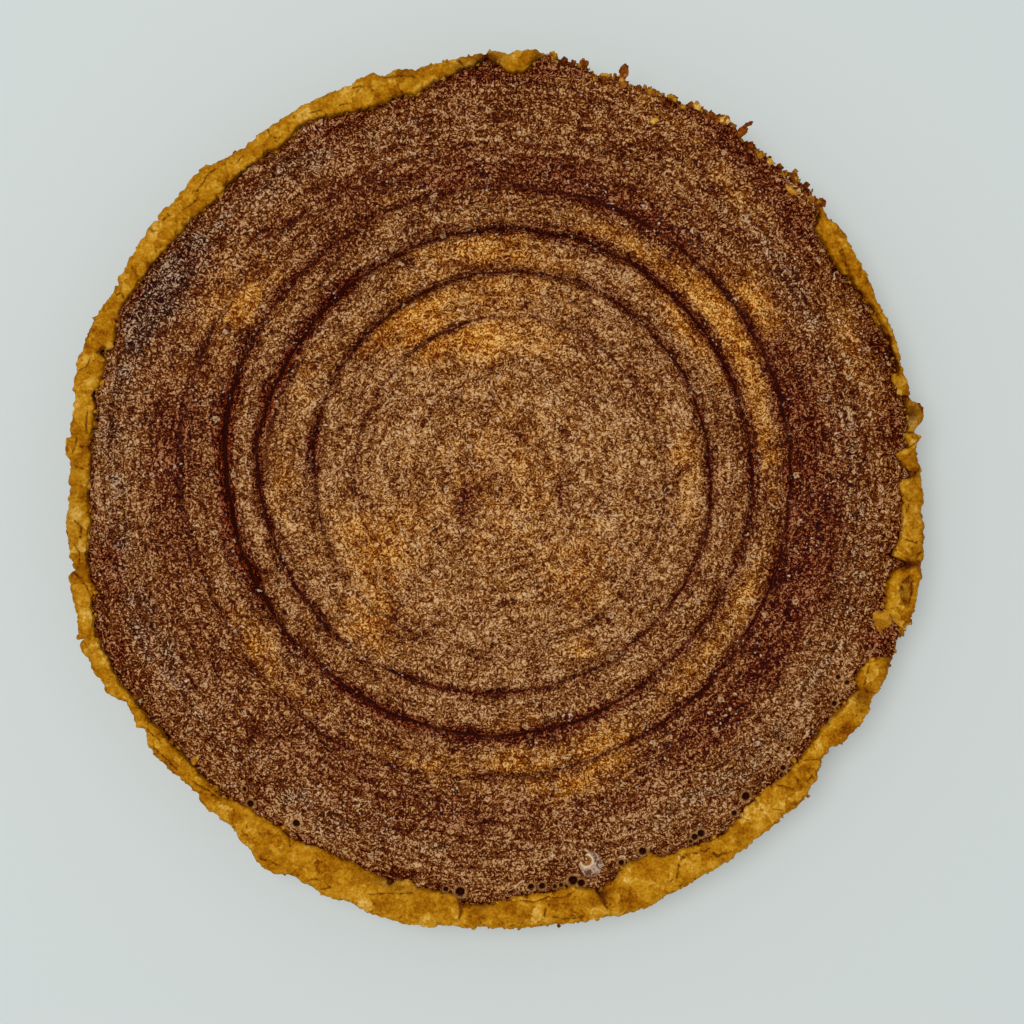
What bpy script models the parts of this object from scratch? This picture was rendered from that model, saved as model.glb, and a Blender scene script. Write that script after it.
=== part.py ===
"""Custard tart, 21 cm across: a shortcrust case filled to its rim with set and browned custard.

Lengths are in metres and +Z is up. Angles are in degrees, anticlockwise from +X as seen from above.
The origin is the middle of the tart's outline, on the surface that its base rests on.
"""

import math
from collections import namedtuple

import bmesh
import bpy
from mathutils import Vector, noise
from mathutils.geometry import delaunay_2d_cdt

MM = 0.001

Wave = namedtuple("Wave", "count height peak")
Bump = namedtuple("Bump", "angle size half_width")
Stop = namedtuple("Stop", "angle value")
Stretch = namedtuple("Stretch", "start end")

# The tart as a whole
MEAN_RADIUS = 105.0 * MM
RIM_HEIGHT = 27.4 * MM
CUSTARD_HEIGHT = 25.8 * MM
BASE_RADIUS = 97.0 * MM
BASE_THICKNESS = 4.0 * MM
GAP = 0.3 * MM
SEGMENTS = 240

# Its outline from above: slow waves of a case pressed by hand, then dents and bulges of the rim
OUTLINE_WAVES = (
    Wave(2, 0.82 * MM, 93.0),
    Wave(3, 0.48 * MM, 55.0),
    Wave(4, 0.34 * MM, 75.0),
    Wave(5, 0.25 * MM, 60.0),
    Wave(6, 0.23 * MM, 28.0),
    Wave(7, 0.68 * MM, 42.0),
    Wave(8, 0.28 * MM, 22.0),
)
OUTLINE_BUMPS = (
    Bump(11.0, 1.1 * MM, 2.5),
    Bump(42.0, 1.3 * MM, 2.0),
    Bump(57.0, 1.3 * MM, 2.0),
    Bump(85.0, 1.0 * MM, 3.5),
    Bump(103.0, -0.9 * MM, 4.0),
    Bump(133.0, 1.2 * MM, 2.5),
    Bump(149.0, -0.9 * MM, 4.0),
    Bump(162.0, 1.1 * MM, 4.0),
    Bump(180.0, -1.0 * MM, 3.0),
    Bump(189.0, -1.3 * MM, 2.0),
    Bump(201.0, 1.0 * MM, 5.0),
    Bump(211.5, -1.9 * MM, 3.0),
    Bump(237.5, 1.8 * MM, 3.0),
    Bump(314.0, 1.0 * MM, 3.0),
    Bump(321.5, -2.0 * MM, 2.5),
)

# Width of the pastry seen between the outline and the custard, stop by stop round the rim
RIM_WIDTHS = (
    Stop(0.0, 4.4 * MM),
    Stop(12.0, 1.8 * MM),
    Stop(30.0, 2.4 * MM),
    Stop(38.0, 3.2 * MM),
    Stop(60.0, 0.0 * MM),
    Stop(88.0, 1.2 * MM),
    Stop(108.0, 5.8 * MM),
    Stop(118.0, 3.6 * MM),
    Stop(134.0, 6.0 * MM),
    Stop(150.0, 3.6 * MM),
    Stop(168.0, 5.2 * MM),
    Stop(184.0, 5.0 * MM),
    Stop(211.0, 1.6 * MM),
    Stop(222.0, 4.6 * MM),
    Stop(240.0, 9.8 * MM),
    Stop(256.0, 9.6 * MM),
    Stop(267.0, 4.4 * MM),
    Stop(278.0, 7.4 * MM),
    Stop(290.0, 10.4 * MM),
    Stop(301.0, 5.8 * MM),
    Stop(312.0, 8.2 * MM),
    Stop(330.0, 5.2 * MM),
    Stop(339.5, 1.2 * MM),
    Stop(347.0, 6.4 * MM),
)

# Stretches where the wall has sunk or broken away and the custard spreads out over it
SUNK_WALLS = (Stretch(40.0, 85.0), Stretch(336.0, 343.0))
SPILL_INSET = 2.0
SPILL_SET_IN = 1.5 * MM

# The wall of the case
THIN_RIM = 1.2 * MM
WALL_THICKNESS = 4.5 * MM
FLOOR_INSET = 6.0 * MM
BASE_ROUND = 1.6 * MM
BASE_SHARE = 0.3
LOWER_WALL_HEIGHT = 11.0 * MM
LOWER_WALL_SHARE = 0.55
UPPER_WALL_HEIGHT = 20.4 * MM
UPPER_WALL_SHARE = 0.96
LIP_UNDERSIDE = 21.5 * MM
RIM_SHOULDER = 2.0 * MM
RIM_CREST_SHARE = 0.35
RIM_STEP = 0.4 * MM
INNER_DROP = 0.8 * MM

# Crags of the broken crust: their size along the rim, how high they stand and how far they reach
CRAG_SIZE = 5.0 * MM
CRAG_HEIGHT = 1.1 * MM
CRAG_REACH = 0.55 * MM
CRUST_WAVE_SIZE = 30.0 * MM
CRUST_WAVE_HEIGHT = 1.2 * MM
REACH_LAYER = 3.7
CRAG_LAYER = 9.1
CRUST_WAVE_LAYER = 5.3
PUFFED_BLOB = Bump(349.0, 1.0 * MM, 4.0)

# The custard's skin: a shallow dome with a swollen outer band and slow unevenness
DOME_HEIGHT = 0.8 * MM
BAND_RADIUS = 88.0 * MM
BAND_WIDTH = 9.0 * MM
BAND_HEIGHT = 0.7 * MM
UNEVEN_SIZE = 42.0 * MM
UNEVEN_HEIGHT = 1.0 * MM
EDGE_FALL = 1.0 * MM
EDGE_FALL_WIDTH = 4.0 * MM

# The crease pressed into the skin: one spiral line that turns inwards anticlockwise
SPIRAL_MIDDLE = Vector((0.7 * MM, 4.5 * MM))
SPIRAL_START = 150.0
SPIRAL_END = 1610.0
SPIRAL_RADIUS = 77.4 * MM
SPIRAL_PITCH = 10.2 * MM
SPIRAL_WANDERS = (
    Bump(178.0, 1.4 * MM, 18.0),
    Bump(242.0, 1.4 * MM, 22.0),
    Bump(345.0, -0.7 * MM, 60.0),
    Bump(545.0, -1.6 * MM, 25.0),
    Bump(590.0, -1.3 * MM, 20.0),
    Bump(895.0, 2.3 * MM, 22.0),
    Bump(940.0, 1.1 * MM, 22.0),
    Bump(1062.0, 0.9 * MM, 30.0),
    Bump(1140.0, 1.0 * MM, 22.0),
    Bump(1200.0, -1.0 * MM, 22.0),
    Bump(1258.0, -1.3 * MM, 24.0),
)
CREASE_DEPTH = 0.9 * MM
CREASE_EXTRA = (
    Bump(545.0, 0.5 * MM, 60.0),
    Bump(810.0, 0.9 * MM, 80.0),
    Bump(1175.0, 0.8 * MM, 80.0),
    Bump(1550.0, -0.3 * MM, 120.0),
)
CREASE_FADE = 50.0
CREASE_HALF_WIDTH = 1.7 * MM
SHOULDER_HEIGHT = 0.25 * MM
RIDGE_HEIGHT = 0.5 * MM
CREASE_STEP = 4.2 * MM

# Spacing of the skin's other points, and how near they come to the crease and to the edge
FIELD_STEP = 5.0 * MM
POINTS_PER_RING = 6
CLEAR_OF_CREASE = 4.0 * MM
CLEAR_OF_EDGE = 2.4 * MM
WHOLE_HULL = 0
CDT_EPSILON = 1e-7

# Materials: sRGB colours from 0 to 1, with roughness
PASTRY_COLOUR = (0.63, 0.42, 0.12)
PASTRY_ROUGHNESS = 0.8
CUSTARD_COLOUR = (0.47, 0.30, 0.17)
CUSTARD_ROUGHNESS = 0.55
SHARP_ANGLE = math.radians(50.0)


def wrapped(angle):
    """Give an angle as its equal between -180 and 180 degrees."""
    return (angle + 180.0) % 360.0 - 180.0


def bell(distance, half_width):
    """Give a bump that is 1 in its middle and dies away past its half width."""
    return math.exp(-((distance / half_width) ** 2))


def ease(share):
    """Give a smooth step from 0 to 1, held at its ends."""
    share = min(max(share, 0.0), 1.0)
    return share * share * (3.0 - 2.0 * share)


def mix(first, second, share):
    """Give the value that lies a share of the way from the first to the second."""
    return first + (second - first) * share


def read_stops(stops, angle):
    """Read a value that eases from stop to stop round the circle."""
    angle %= 360.0
    for here, after in zip(stops, stops[1:] + stops[:1]):
        span = (after.angle - here.angle) % 360.0
        if angle - here.angle < span:
            return mix(here.value, after.value, ease((angle - here.angle) / span))
    return stops[-1].value


def round_noise(angle, size, layer):
    """Give noise from -1 to 1 that runs round the rim in lumps of one size."""
    reach = MEAN_RADIUS / size
    turn = math.radians(angle)
    return noise.noise(Vector((reach * math.cos(turn), reach * math.sin(turn), layer)))


def outline_radius(angle):
    """Give the radius of the outline from above."""
    turn = math.radians(angle)
    radius = MEAN_RADIUS
    for wave in OUTLINE_WAVES:
        radius += wave.height * math.cos(wave.count * (turn - math.radians(wave.peak)))
    for bump in OUTLINE_BUMPS:
        radius += bump.size * bell(wrapped(angle - bump.angle), bump.half_width)
    return radius + CRAG_REACH * round_noise(angle, CRAG_SIZE, REACH_LAYER)


def in_stretch(angle, inset):
    """Say whether an angle is in a sunk stretch of wall, at least an inset from its ends."""
    for stretch in SUNK_WALLS:
        middle = 0.5 * (stretch.start + stretch.end)
        half = 0.5 * (stretch.end - stretch.start) - inset
        if abs(wrapped(angle - middle)) < half:
            return True
    return False


def rim_width(angle):
    """Give the width of pastry that shows outside the custard."""
    return max(read_stops(RIM_WIDTHS, angle), THIN_RIM)


def custard_radius(angle):
    """Give the radius of the custard's edge: inside the rim, or out to the outline where it spills."""
    if in_stretch(angle, SPILL_INSET):
        return outline_radius(angle)
    return outline_radius(angle) - rim_width(angle)


def wall_radius(angle):
    """Give the radius of the wall's inner face just under the custard's lip."""
    return outline_radius(angle) - max(rim_width(angle), WALL_THICKNESS)


def base_radius(angle):
    """Give the outer radius at the foot of the wall, rounder than the rim."""
    return BASE_RADIUS + BASE_SHARE * (outline_radius(angle) - MEAN_RADIUS)


def outer_radius(angle):
    """Give the pastry's outer radius at the rim, set in under the spilt custard."""
    if in_stretch(angle, SPILL_INSET):
        return outline_radius(angle) - SPILL_SET_IN
    return outline_radius(angle)


def crest_height(angle):
    """Give the height of the crest of the rim, with its crags."""
    height = RIM_HEIGHT + CRAG_HEIGHT * round_noise(angle, CRAG_SIZE, CRAG_LAYER)
    height += CRUST_WAVE_HEIGHT * round_noise(angle, CRUST_WAVE_SIZE, CRUST_WAVE_LAYER)
    return height + PUFFED_BLOB.size * bell(wrapped(angle - PUFFED_BLOB.angle), PUFFED_BLOB.half_width)


def outline_middle():
    """Find the middle of the box round the outline."""
    corners = []
    for step in range(SEGMENTS):
        angle = 360.0 * step / SEGMENTS
        turn = math.radians(angle)
        corners.append(Vector((math.cos(turn), math.sin(turn))) * outline_radius(angle))
    across = [corner.x for corner in corners]
    along = [corner.y for corner in corners]
    return Vector((0.5 * (min(across) + max(across)), 0.5 * (min(along) + max(along))))


OUTLINE_MIDDLE = outline_middle()


def polar_point(angle, radius):
    """Turn an angle and a radius about the outline's own centre into a place in the plane."""
    turn = math.radians(angle)
    return Vector((math.cos(turn), math.sin(turn))) * radius - OUTLINE_MIDDLE


def polar_reading(place):
    """Turn a place in the plane back into an angle and a radius."""
    offset = place + OUTLINE_MIDDLE
    return math.degrees(math.atan2(offset.y, offset.x)), offset.length


def crease_radius(turned):
    """Give the crease's radius about the spiral's middle after turning so many degrees."""
    radius = SPIRAL_RADIUS - SPIRAL_PITCH * (turned - SPIRAL_START) / 360.0
    for wander in SPIRAL_WANDERS:
        radius += wander.size * bell(turned - wander.angle, wander.half_width)
    return radius


def crease_depth(turned):
    """Give the depth of the crease, which fades in at its start and out at its end."""
    depth = CREASE_DEPTH
    for extra in CREASE_EXTRA:
        depth += extra.size * bell(turned - extra.angle, extra.half_width)
    return depth * ease((turned - SPIRAL_START) / CREASE_FADE) * ease((SPIRAL_END - turned) / CREASE_FADE)


def skin_height(place):
    """Give the height of the custard's skin at a place, without the crease."""
    angle, radius = polar_reading(place)
    share = radius / MEAN_RADIUS
    height = CUSTARD_HEIGHT + DOME_HEIGHT * (1.0 - share * share)
    height += BAND_HEIGHT * bell(radius - BAND_RADIUS, BAND_WIDTH)
    height += UNEVEN_HEIGHT * noise.noise(Vector((place.x, place.y, 0.0)) / UNEVEN_SIZE)
    return height - EDGE_FALL * bell(custard_radius(angle) - radius, EDGE_FALL_WIDTH)


def is_clear(place):
    """Say whether a point of the skin's field is clear of the crease's turns and of the edge."""
    angle, radius = polar_reading(place)
    if custard_radius(angle) - radius < CLEAR_OF_EDGE:
        return False
    offset = place - SPIRAL_MIDDLE
    turned = math.degrees(math.atan2(offset.y, offset.x)) % 360.0
    turns = []
    while turned <= SPIRAL_END:
        if turned >= SPIRAL_START:
            turns.append(crease_radius(turned))
        turned += 360.0
    return offset.length > turns[0] + CLEAR_OF_CREASE or offset.length < turns[-1] - CLEAR_OF_CREASE


def edge_points():
    """Give the points of the custard's edge, one for each segment."""
    angles = [360.0 * step / SEGMENTS for step in range(SEGMENTS)]
    return [polar_point(angle, custard_radius(angle)) for angle in angles]


def crease_rows():
    """Give rows of (place, rise) along the crease: its bed, its two shoulders and the ridge outside."""
    bed, inner, outer, ridge = [], [], [], []
    turned = SPIRAL_START
    while turned < SPIRAL_END:
        turn = math.radians(turned)
        outwards = Vector((math.cos(turn), math.sin(turn)))
        radius = crease_radius(turned)
        depth = crease_depth(turned)
        strength = depth / CREASE_DEPTH
        bed.append((SPIRAL_MIDDLE + outwards * radius, -depth))
        inner.append((SPIRAL_MIDDLE + outwards * (radius - CREASE_HALF_WIDTH), SHOULDER_HEIGHT * strength))
        outer.append((SPIRAL_MIDDLE + outwards * (radius + CREASE_HALF_WIDTH), SHOULDER_HEIGHT * strength))
        half_way = radius - 0.5 * SPIRAL_PITCH
        ridge.append((SPIRAL_MIDDLE + outwards * half_way, RIDGE_HEIGHT * strength))
        turned += math.degrees(CREASE_STEP / radius)
    return bed, inner, outer, ridge


def field_points():
    """Give the points of the skin that lie outside and inside the spiral, in staggered rings."""
    places = [polar_point(0.0, 0.0)]
    ring = 1
    while ring * FIELD_STEP < MEAN_RADIUS:
        count = POINTS_PER_RING * ring
        for step in range(count):
            angle = 360.0 * (step + 0.5 * (ring % 2)) / count
            places.append(polar_point(angle, ring * FIELD_STEP))
        ring += 1
    return [place for place in places if is_clear(place)]


def is_inside(place, edge):
    """Say whether a place is inside the custard's edge, whose points come first in a list, in order."""
    step = int((polar_reading(place)[0] % 360.0) * SEGMENTS / 360.0)
    first, second = edge[step], edge[(step + 1) % SEGMENTS]
    return (second - first).cross(place - first) > 0.0


def add_row(points, rises, edges, row):
    """Add a row of points to the skin, each joined to the next by an edge that stays."""
    first = len(points)
    for place, rise in row:
        points.append(place)
        rises.append(rise)
    edges.extend((first + step, first + step + 1) for step in range(len(row) - 1))


def build_skin():
    """Build the custard's upper face as a sheet whose edges follow the crease."""
    points = edge_points()
    rises = [0.0] * SEGMENTS
    edges = [(step, (step + 1) % SEGMENTS) for step in range(SEGMENTS)]
    bed, inner, outer, ridge = crease_rows()
    for row in (bed, inner, outer):
        add_row(points, rises, edges, row)
    for place, rise in ridge:
        points.append(place)
        rises.append(rise)
    for place in field_points():
        points.append(place)
        rises.append(0.0)
    sheet = delaunay_2d_cdt(points, edges, [], WHOLE_HULL, CDT_EPSILON, True)
    places, triangles, sources = sheet[0], sheet[2], sheet[3]
    form = bmesh.new()
    for place, source in zip(places, sources):
        rise = rises[source[0]] if source else 0.0
        form.verts.new((place.x, place.y, skin_height(place) + rise))
    form.verts.ensure_lookup_table()
    for triangle in triangles:
        if is_inside(sum((places[corner] for corner in triangle), Vector((0.0, 0.0))) / 3.0, points):
            form.faces.new([form.verts[corner] for corner in triangle])
    return form


def drop_ring(form, edges, ring):
    """Extrude a closed ring of edges and set the new points by a function of angle."""
    made = bmesh.ops.extrude_edge_only(form, edges=edges)["geom"]
    for corner in [item for item in made if isinstance(item, bmesh.types.BMVert)]:
        angle = polar_reading(corner.co.xy)[0]
        radius, height = ring(angle)
        place = polar_point(angle, radius)
        corner.co = (place.x, place.y, height)
    return [item for item in made if isinstance(item, bmesh.types.BMEdge)]


def custard_rings():
    """Give the rings of the custard's side, from under its lip down to the floor."""

    def lip_edge(angle):
        return custard_radius(angle), LIP_UNDERSIDE

    def lip_root(angle):
        return wall_radius(angle) - GAP, LIP_UNDERSIDE

    def foot(angle):
        return base_radius(angle) - FLOOR_INSET - 2.0 * GAP, BASE_THICKNESS + GAP

    return lip_edge, lip_root, foot


def pastry_rings():
    """Give the rings of the case: up the outside, over the rim and down the inside to the floor."""
    low_top = LIP_UNDERSIDE - GAP

    def rim_ring(angle, standing, sunk):
        return sunk if in_stretch(angle, 0.0) else standing

    def foot_round(angle):
        return base_radius(angle), BASE_ROUND

    def lower_wall(angle):
        return mix(base_radius(angle), outer_radius(angle), LOWER_WALL_SHARE), LOWER_WALL_HEIGHT

    def upper_wall(angle):
        return mix(base_radius(angle), outer_radius(angle), UPPER_WALL_SHARE), UPPER_WALL_HEIGHT

    def shoulder(angle):
        height = rim_ring(angle, crest_height(angle) - RIM_SHOULDER, low_top - RIM_STEP)
        return outer_radius(angle), height

    def crest(angle):
        inset = rim_ring(angle, RIM_CREST_SHARE * rim_width(angle), RIM_STEP)
        return outer_radius(angle) - inset, rim_ring(angle, crest_height(angle), low_top)

    def inner_edge(angle):
        radius = min(custard_radius(angle) + GAP, crest(angle)[0] - RIM_STEP)
        height = crest_height(angle) - INNER_DROP
        return radius, rim_ring(angle, height, low_top)

    def inner_step(angle):
        return inner_edge(angle)[0], rim_ring(angle, low_top, low_top - 0.5 * RIM_STEP)

    def wall_top(angle):
        return wall_radius(angle), low_top - RIM_STEP

    def floor_edge(angle):
        return base_radius(angle) - FLOOR_INSET, BASE_THICKNESS

    return foot_round, lower_wall, upper_wall, shoulder, crest, inner_edge, inner_step, wall_top, floor_edge


def make_material(name, colour, roughness):
    """Make a plain material from an sRGB colour."""
    material = bpy.data.materials.new(name)
    material.use_nodes = True
    shader = material.node_tree.nodes["Principled BSDF"]
    linear = [((part + 0.055) / 1.055) ** 2.4 for part in colour]
    shader.inputs["Base Color"].default_value = (*linear, 1.0)
    shader.inputs["Roughness"].default_value = roughness
    shader.inputs["Metallic"].default_value = 0.0
    return material


def finish_piece(form, name, material):
    """Turn a finished form into a smooth-shaded object with its material."""
    bmesh.ops.triangulate(form, faces=form.faces)
    bmesh.ops.recalc_face_normals(form, faces=form.faces)
    mesh = bpy.data.meshes.new(name)
    form.to_mesh(mesh)
    form.free()
    mesh.shade_smooth()
    mesh.set_sharp_from_angle(angle=SHARP_ANGLE)
    mesh.materials.append(material)
    piece = bpy.data.objects.new(name, mesh)
    bpy.context.scene.collection.objects.link(piece)
    return piece


def build_custard():
    """Build the filling: its creased skin, a side that follows the wall, and a flat underside."""
    form = build_skin()
    edges = [edge for edge in form.edges if edge.is_boundary]
    for ring in custard_rings():
        edges = drop_ring(form, edges, ring)
    bmesh.ops.edgeloop_fill(form, edges=edges)
    material = make_material("baked_custard", CUSTARD_COLOUR, CUSTARD_ROUGHNESS)
    return finish_piece(form, "custard_filling", material)


def build_pastry():
    """Build the case from a flat foot, ring by ring up and over its rim and down to its floor."""
    form = bmesh.new()
    bmesh.ops.create_circle(form, segments=SEGMENTS, radius=MEAN_RADIUS, cap_ends=False)
    for corner in form.verts:
        angle = math.degrees(math.atan2(corner.co.y, corner.co.x))
        place = polar_point(angle, base_radius(angle) - BASE_ROUND)
        corner.co = (place.x, place.y, 0.0)
    foot = list(form.edges)
    edges = foot
    for ring in pastry_rings():
        edges = drop_ring(form, edges, ring)
    bmesh.ops.edgeloop_fill(form, edges=foot)
    bmesh.ops.edgeloop_fill(form, edges=edges)
    material = make_material("shortcrust_pastry", PASTRY_COLOUR, PASTRY_ROUGHNESS)
    return finish_piece(form, "pastry_case", material)


def clear_scene():
    """Remove whatever the scene holds."""
    for item in list(bpy.data.objects):
        bpy.data.objects.remove(item, do_unlink=True)


def main():
    """Build the tart."""
    clear_scene()
    build_pastry()
    build_custard()


main()
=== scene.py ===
"""Looks of a custard tart: its creased skin, its crumbly shortcrust rim, its bubbles and crumbs.

Lengths are in metres and +Z is up. Angles are in degrees, anticlockwise from +X as seen from above.
The rows given to listed(), the crust's corners and its fissures have their lengths in millimetres.
"""

import logging
import math
from collections.abc import Callable, Sequence
from dataclasses import dataclass
from enum import Enum
from functools import cached_property
from typing import ClassVar

import bmesh
import bpy
import numpy as np
from mathutils import Matrix, Vector, noise


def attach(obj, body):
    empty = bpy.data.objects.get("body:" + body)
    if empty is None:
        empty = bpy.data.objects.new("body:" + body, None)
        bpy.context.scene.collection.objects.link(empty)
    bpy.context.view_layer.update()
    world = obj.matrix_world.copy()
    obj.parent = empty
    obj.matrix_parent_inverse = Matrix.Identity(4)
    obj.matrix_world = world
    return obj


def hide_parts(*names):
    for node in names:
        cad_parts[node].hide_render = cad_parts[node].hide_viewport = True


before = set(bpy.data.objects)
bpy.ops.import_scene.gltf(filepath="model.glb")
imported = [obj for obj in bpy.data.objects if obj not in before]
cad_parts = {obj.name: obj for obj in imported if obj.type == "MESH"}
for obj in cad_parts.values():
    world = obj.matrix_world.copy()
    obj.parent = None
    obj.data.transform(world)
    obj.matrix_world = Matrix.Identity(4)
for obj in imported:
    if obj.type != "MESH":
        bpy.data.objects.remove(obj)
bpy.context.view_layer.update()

MM = 0.001
FAR_AWAY = 1.0
USUAL_LUMP = 0.4
TABLE_ANGLES = np.arange(0.0, 360.0, 0.1)
MIX_FIRST, MIX_SECOND = 6, 7
MAIN_OUTPUTS = {"TexCoord": "Object", "Attribute": "Fac", "Mix": 2}
SKIN_READS = (
    *("paleness", "gold", "painted_sheen", "maroon", "hole", "hole_highlight"),
    *("crease_sine", "crease_cosine", "crease", "crease_width"),
)
Socket = bpy.types.NodeSocket
Inputs = dict[str | int, object] | Sequence[object]
Stops = Sequence[tuple[float, str]]
Pair = tuple[float, float]
Ring = Callable[[float, float], Pair]

logging.basicConfig(level=logging.INFO, format="%(message)s")
log = logging.getLogger("custard_tart")


@dataclass(frozen=True)
class Wave:
    """A cosine wave round the outline."""

    units: ClassVar[tuple[float, ...]] = (1, MM, 1)
    count: int
    height: float
    peak: float


@dataclass(frozen=True)
class Bump:
    """A bump at an angle: its height, and its half width in degrees."""

    units: ClassVar[tuple[float, ...]] = (1, MM, 1)
    angle: float
    size: float
    half_width: float


@dataclass(frozen=True)
class Stop:
    """A value at an angle, eased on to the next one round the circle."""

    units: ClassVar[tuple[float, ...]] = (1, MM)
    angle: float
    value: float


@dataclass(frozen=True)
class Stretch:
    """A stretch of the rim between two angles."""

    start: float
    end: float


@dataclass(frozen=True)
class Patch:
    """A soft-edged patch at an angle and a radius: its half widths both ways, and its strength."""

    units: ClassVar[tuple[float, ...]] = (1, MM, 1, MM, 1)
    angle: float
    radius: float
    half_angle: float
    half_radius: float
    strength: float


@dataclass(frozen=True)
class Streak:
    """A short straight streak on the skin: its middle, direction, half length and half width."""

    units: ClassVar[tuple[float, ...]] = (MM, MM, 1, MM, MM, 1)
    x: float
    y: float
    turn: float
    half_length: float
    half_width: float
    strength: float


@dataclass(frozen=True)
class Mark:
    """How the crease has burnt after turning so far: its darkness, and its width in millimetres."""

    units: ClassVar[tuple[float, ...]] = (1, 1, 1)
    turned: float
    dark: float
    width: float


@dataclass(frozen=True)
class Hole:
    """A burst bubble in the skin: its middle and its diameter."""

    units: ClassVar[tuple[float, ...]] = (MM, MM, MM)
    x: float
    y: float
    width: float


def listed(kind: type, *rows: tuple[float, ...]) -> tuple:
    """Make a record of one kind from each row, whose columns are in that kind's units."""
    return tuple(kind(*(value * unit for value, unit in zip(row, kind.units))) for row in rows)


def bell(distance: np.ndarray, half_width: float | np.ndarray) -> np.ndarray:
    """Give a bump that is 1 in its middle and dies away past its half width."""
    return np.exp(-((np.asarray(distance) / np.maximum(half_width, 1e-6)) ** 2))


def ease(share: np.ndarray) -> np.ndarray:
    """Give a smooth step from 0 to 1, held at its ends."""
    share = np.clip(share, 0.0, 1.0)
    return share * share * (3.0 - 2.0 * share)


def wrapped(angle: np.ndarray) -> np.ndarray:
    """Give an angle as its equal between -180 and 180 degrees."""
    return (np.asarray(angle) + 180.0) % 360.0 - 180.0


def read_round(table: np.ndarray, angles: np.ndarray) -> np.ndarray:
    """Read a table of tenths of a degree at some angles."""
    return np.interp(angles, TABLE_ANGLES, table, period=360.0)


def lumps(points: np.ndarray, size: float, layer: float) -> np.ndarray:
    """Give noise from -1 to 1 in lumps of one size.

    Args:
        points: Places in space, one a row.
        size: How far apart the lumps are.
        layer: Which of many unlike noises to read.

    Returns:
        One value for each place.
    """
    shifted = points / size + np.array((0.0, 0.0, layer))
    return np.array([noise.noise(row) for row in shifted.tolist()])


def cracks(points: np.ndarray, size: float, layer: float) -> np.ndarray:
    """Give how far each place is from the crack between two lumps of one size.

    Args:
        points: Places in space, one a row.
        size: How far apart the lumps are.
        layer: Which of many unlike patterns to read.

    Returns:
        The distance from the crack, as a share of the lumps' size.
    """
    shifted = points / size + np.array((0.0, 0.0, layer))
    found = [noise.voronoi(row)[0] for row in shifted.tolist()]
    return np.array([near[1] - near[0] for near in found])


def in_space(places: np.ndarray, height: float = 0.0) -> np.ndarray:
    """Give places in the plane a height."""
    return np.column_stack((places, np.full(len(places), height)))


def sum_patches(angles: np.ndarray, radii: np.ndarray, patches: Sequence[Patch]) -> np.ndarray:
    """Add up soft patches.

    Args:
        angles: The places' angles.
        radii: The places' radii.
        patches: The patches.

    Returns:
        The patches' strength at each place.
    """
    total = np.zeros(len(angles))
    for patch in patches:
        across = bell(wrapped(angles - patch.angle), patch.half_angle)
        total += patch.strength * across * bell(radii - patch.radius, patch.half_radius)
    return total


def linear_colour(code: str) -> tuple[float, float, float, float]:
    """Turn an sRGB hex colour into the colour that a shader takes.

    Args:
        code: The colour as "#RRGGBB".

    Returns:
        Its linear red, green and blue, and an alpha of 1.
    """
    parts = [int(code[place : place + 2], 16) / 255.0 for place in (1, 3, 5)]
    linear = [
        part / 12.92 if part <= 0.04045 else ((part + 0.055) / 1.055) ** 2.4 for part in parts
    ]
    return (*linear, 1.0)


class Layout:
    """A material that is laid out node by node."""

    def __init__(self, name: str) -> None:
        """Start a material that has no node but its output.

        Args:
            name: The material's name.
        """
        self.material = bpy.data.materials.new(name)
        self.material.use_nodes = True
        self.nodes = self.material.node_tree.nodes
        self.nodes.remove(self.nodes["Principled BSDF"])

    def add(self, kind: str, inputs: Inputs = (), stops: Stops = (), **settings: object) -> Socket:
        """Add a node, set what it holds and link what feeds it.

        Args:
            kind: The kind of node, as Blender names it after "ShaderNode".
            inputs: A value or a feeding socket for each input, in order or by its name or number.
            stops: For a colour ramp, its places and sRGB hex colours.
            settings: The node's own properties.

        Returns:
            The socket of the node's main result.
        """
        node = self.nodes.new("ShaderNode" + kind)
        for name, value in settings.items():
            setattr(node, name, value)
        for socket, value in inputs.items() if isinstance(inputs, dict) else enumerate(inputs):
            if isinstance(value, Socket):
                self.material.node_tree.links.new(value, node.inputs[socket])
            else:
                node.inputs[socket].default_value = value
        if stops:
            elements = node.color_ramp.elements
            while len(elements) < len(stops):
                elements.new(1.0)
            for element, (place, code) in zip(elements, stops):
                element.position = place
                element.color = linear_colour(code)
        return node.outputs[MAIN_OUTPUTS.get(kind, 0)]

    def stain(self, colour: Socket, stains: Sequence[tuple[Socket, Socket | str]]) -> Socket:
        """Lay stains over a colour, one after another.

        Args:
            colour: The colour below.
            stains: For each, how much of it shows, and its colour as a socket or an sRGB hex code.

        Returns:
            The stained colour.
        """
        for share, code in stains:
            above = linear_colour(code) if isinstance(code, str) else code
            inputs = {0: share, MIX_FIRST: colour, MIX_SECOND: above}
            colour = self.add("Mix", inputs, data_type="RGBA")
        return colour

    def close(self, inputs: Inputs) -> bpy.types.Material:
        """Finish the material with a principled shader.

        Args:
            inputs: What the shader's inputs hold.

        Returns:
            The finished material.
        """
        shader = self.add("BsdfPrincipled", inputs)
        self.material.node_tree.links.new(shader, self.nodes["Material Output"].inputs["Surface"])
        return self.material


def set_attribute(mesh: bpy.types.Mesh, name: str, values: np.ndarray) -> None:
    """Store one number for each point of a mesh."""
    attribute = mesh.attributes.new(name, "FLOAT", "POINT")
    attribute.data.foreach_set("value", np.asarray(values, dtype=np.float32))


def mesh_places(mesh: bpy.types.Mesh) -> np.ndarray:
    """Read where a mesh's points are.

    Args:
        mesh: The mesh.

    Returns:
        A row of x, y and z for each point.
    """
    flat = np.empty(len(mesh.vertices) * 3, dtype=np.float32)
    mesh.vertices.foreach_get("co", flat)
    return flat.reshape(-1, 3).astype(float)


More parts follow.
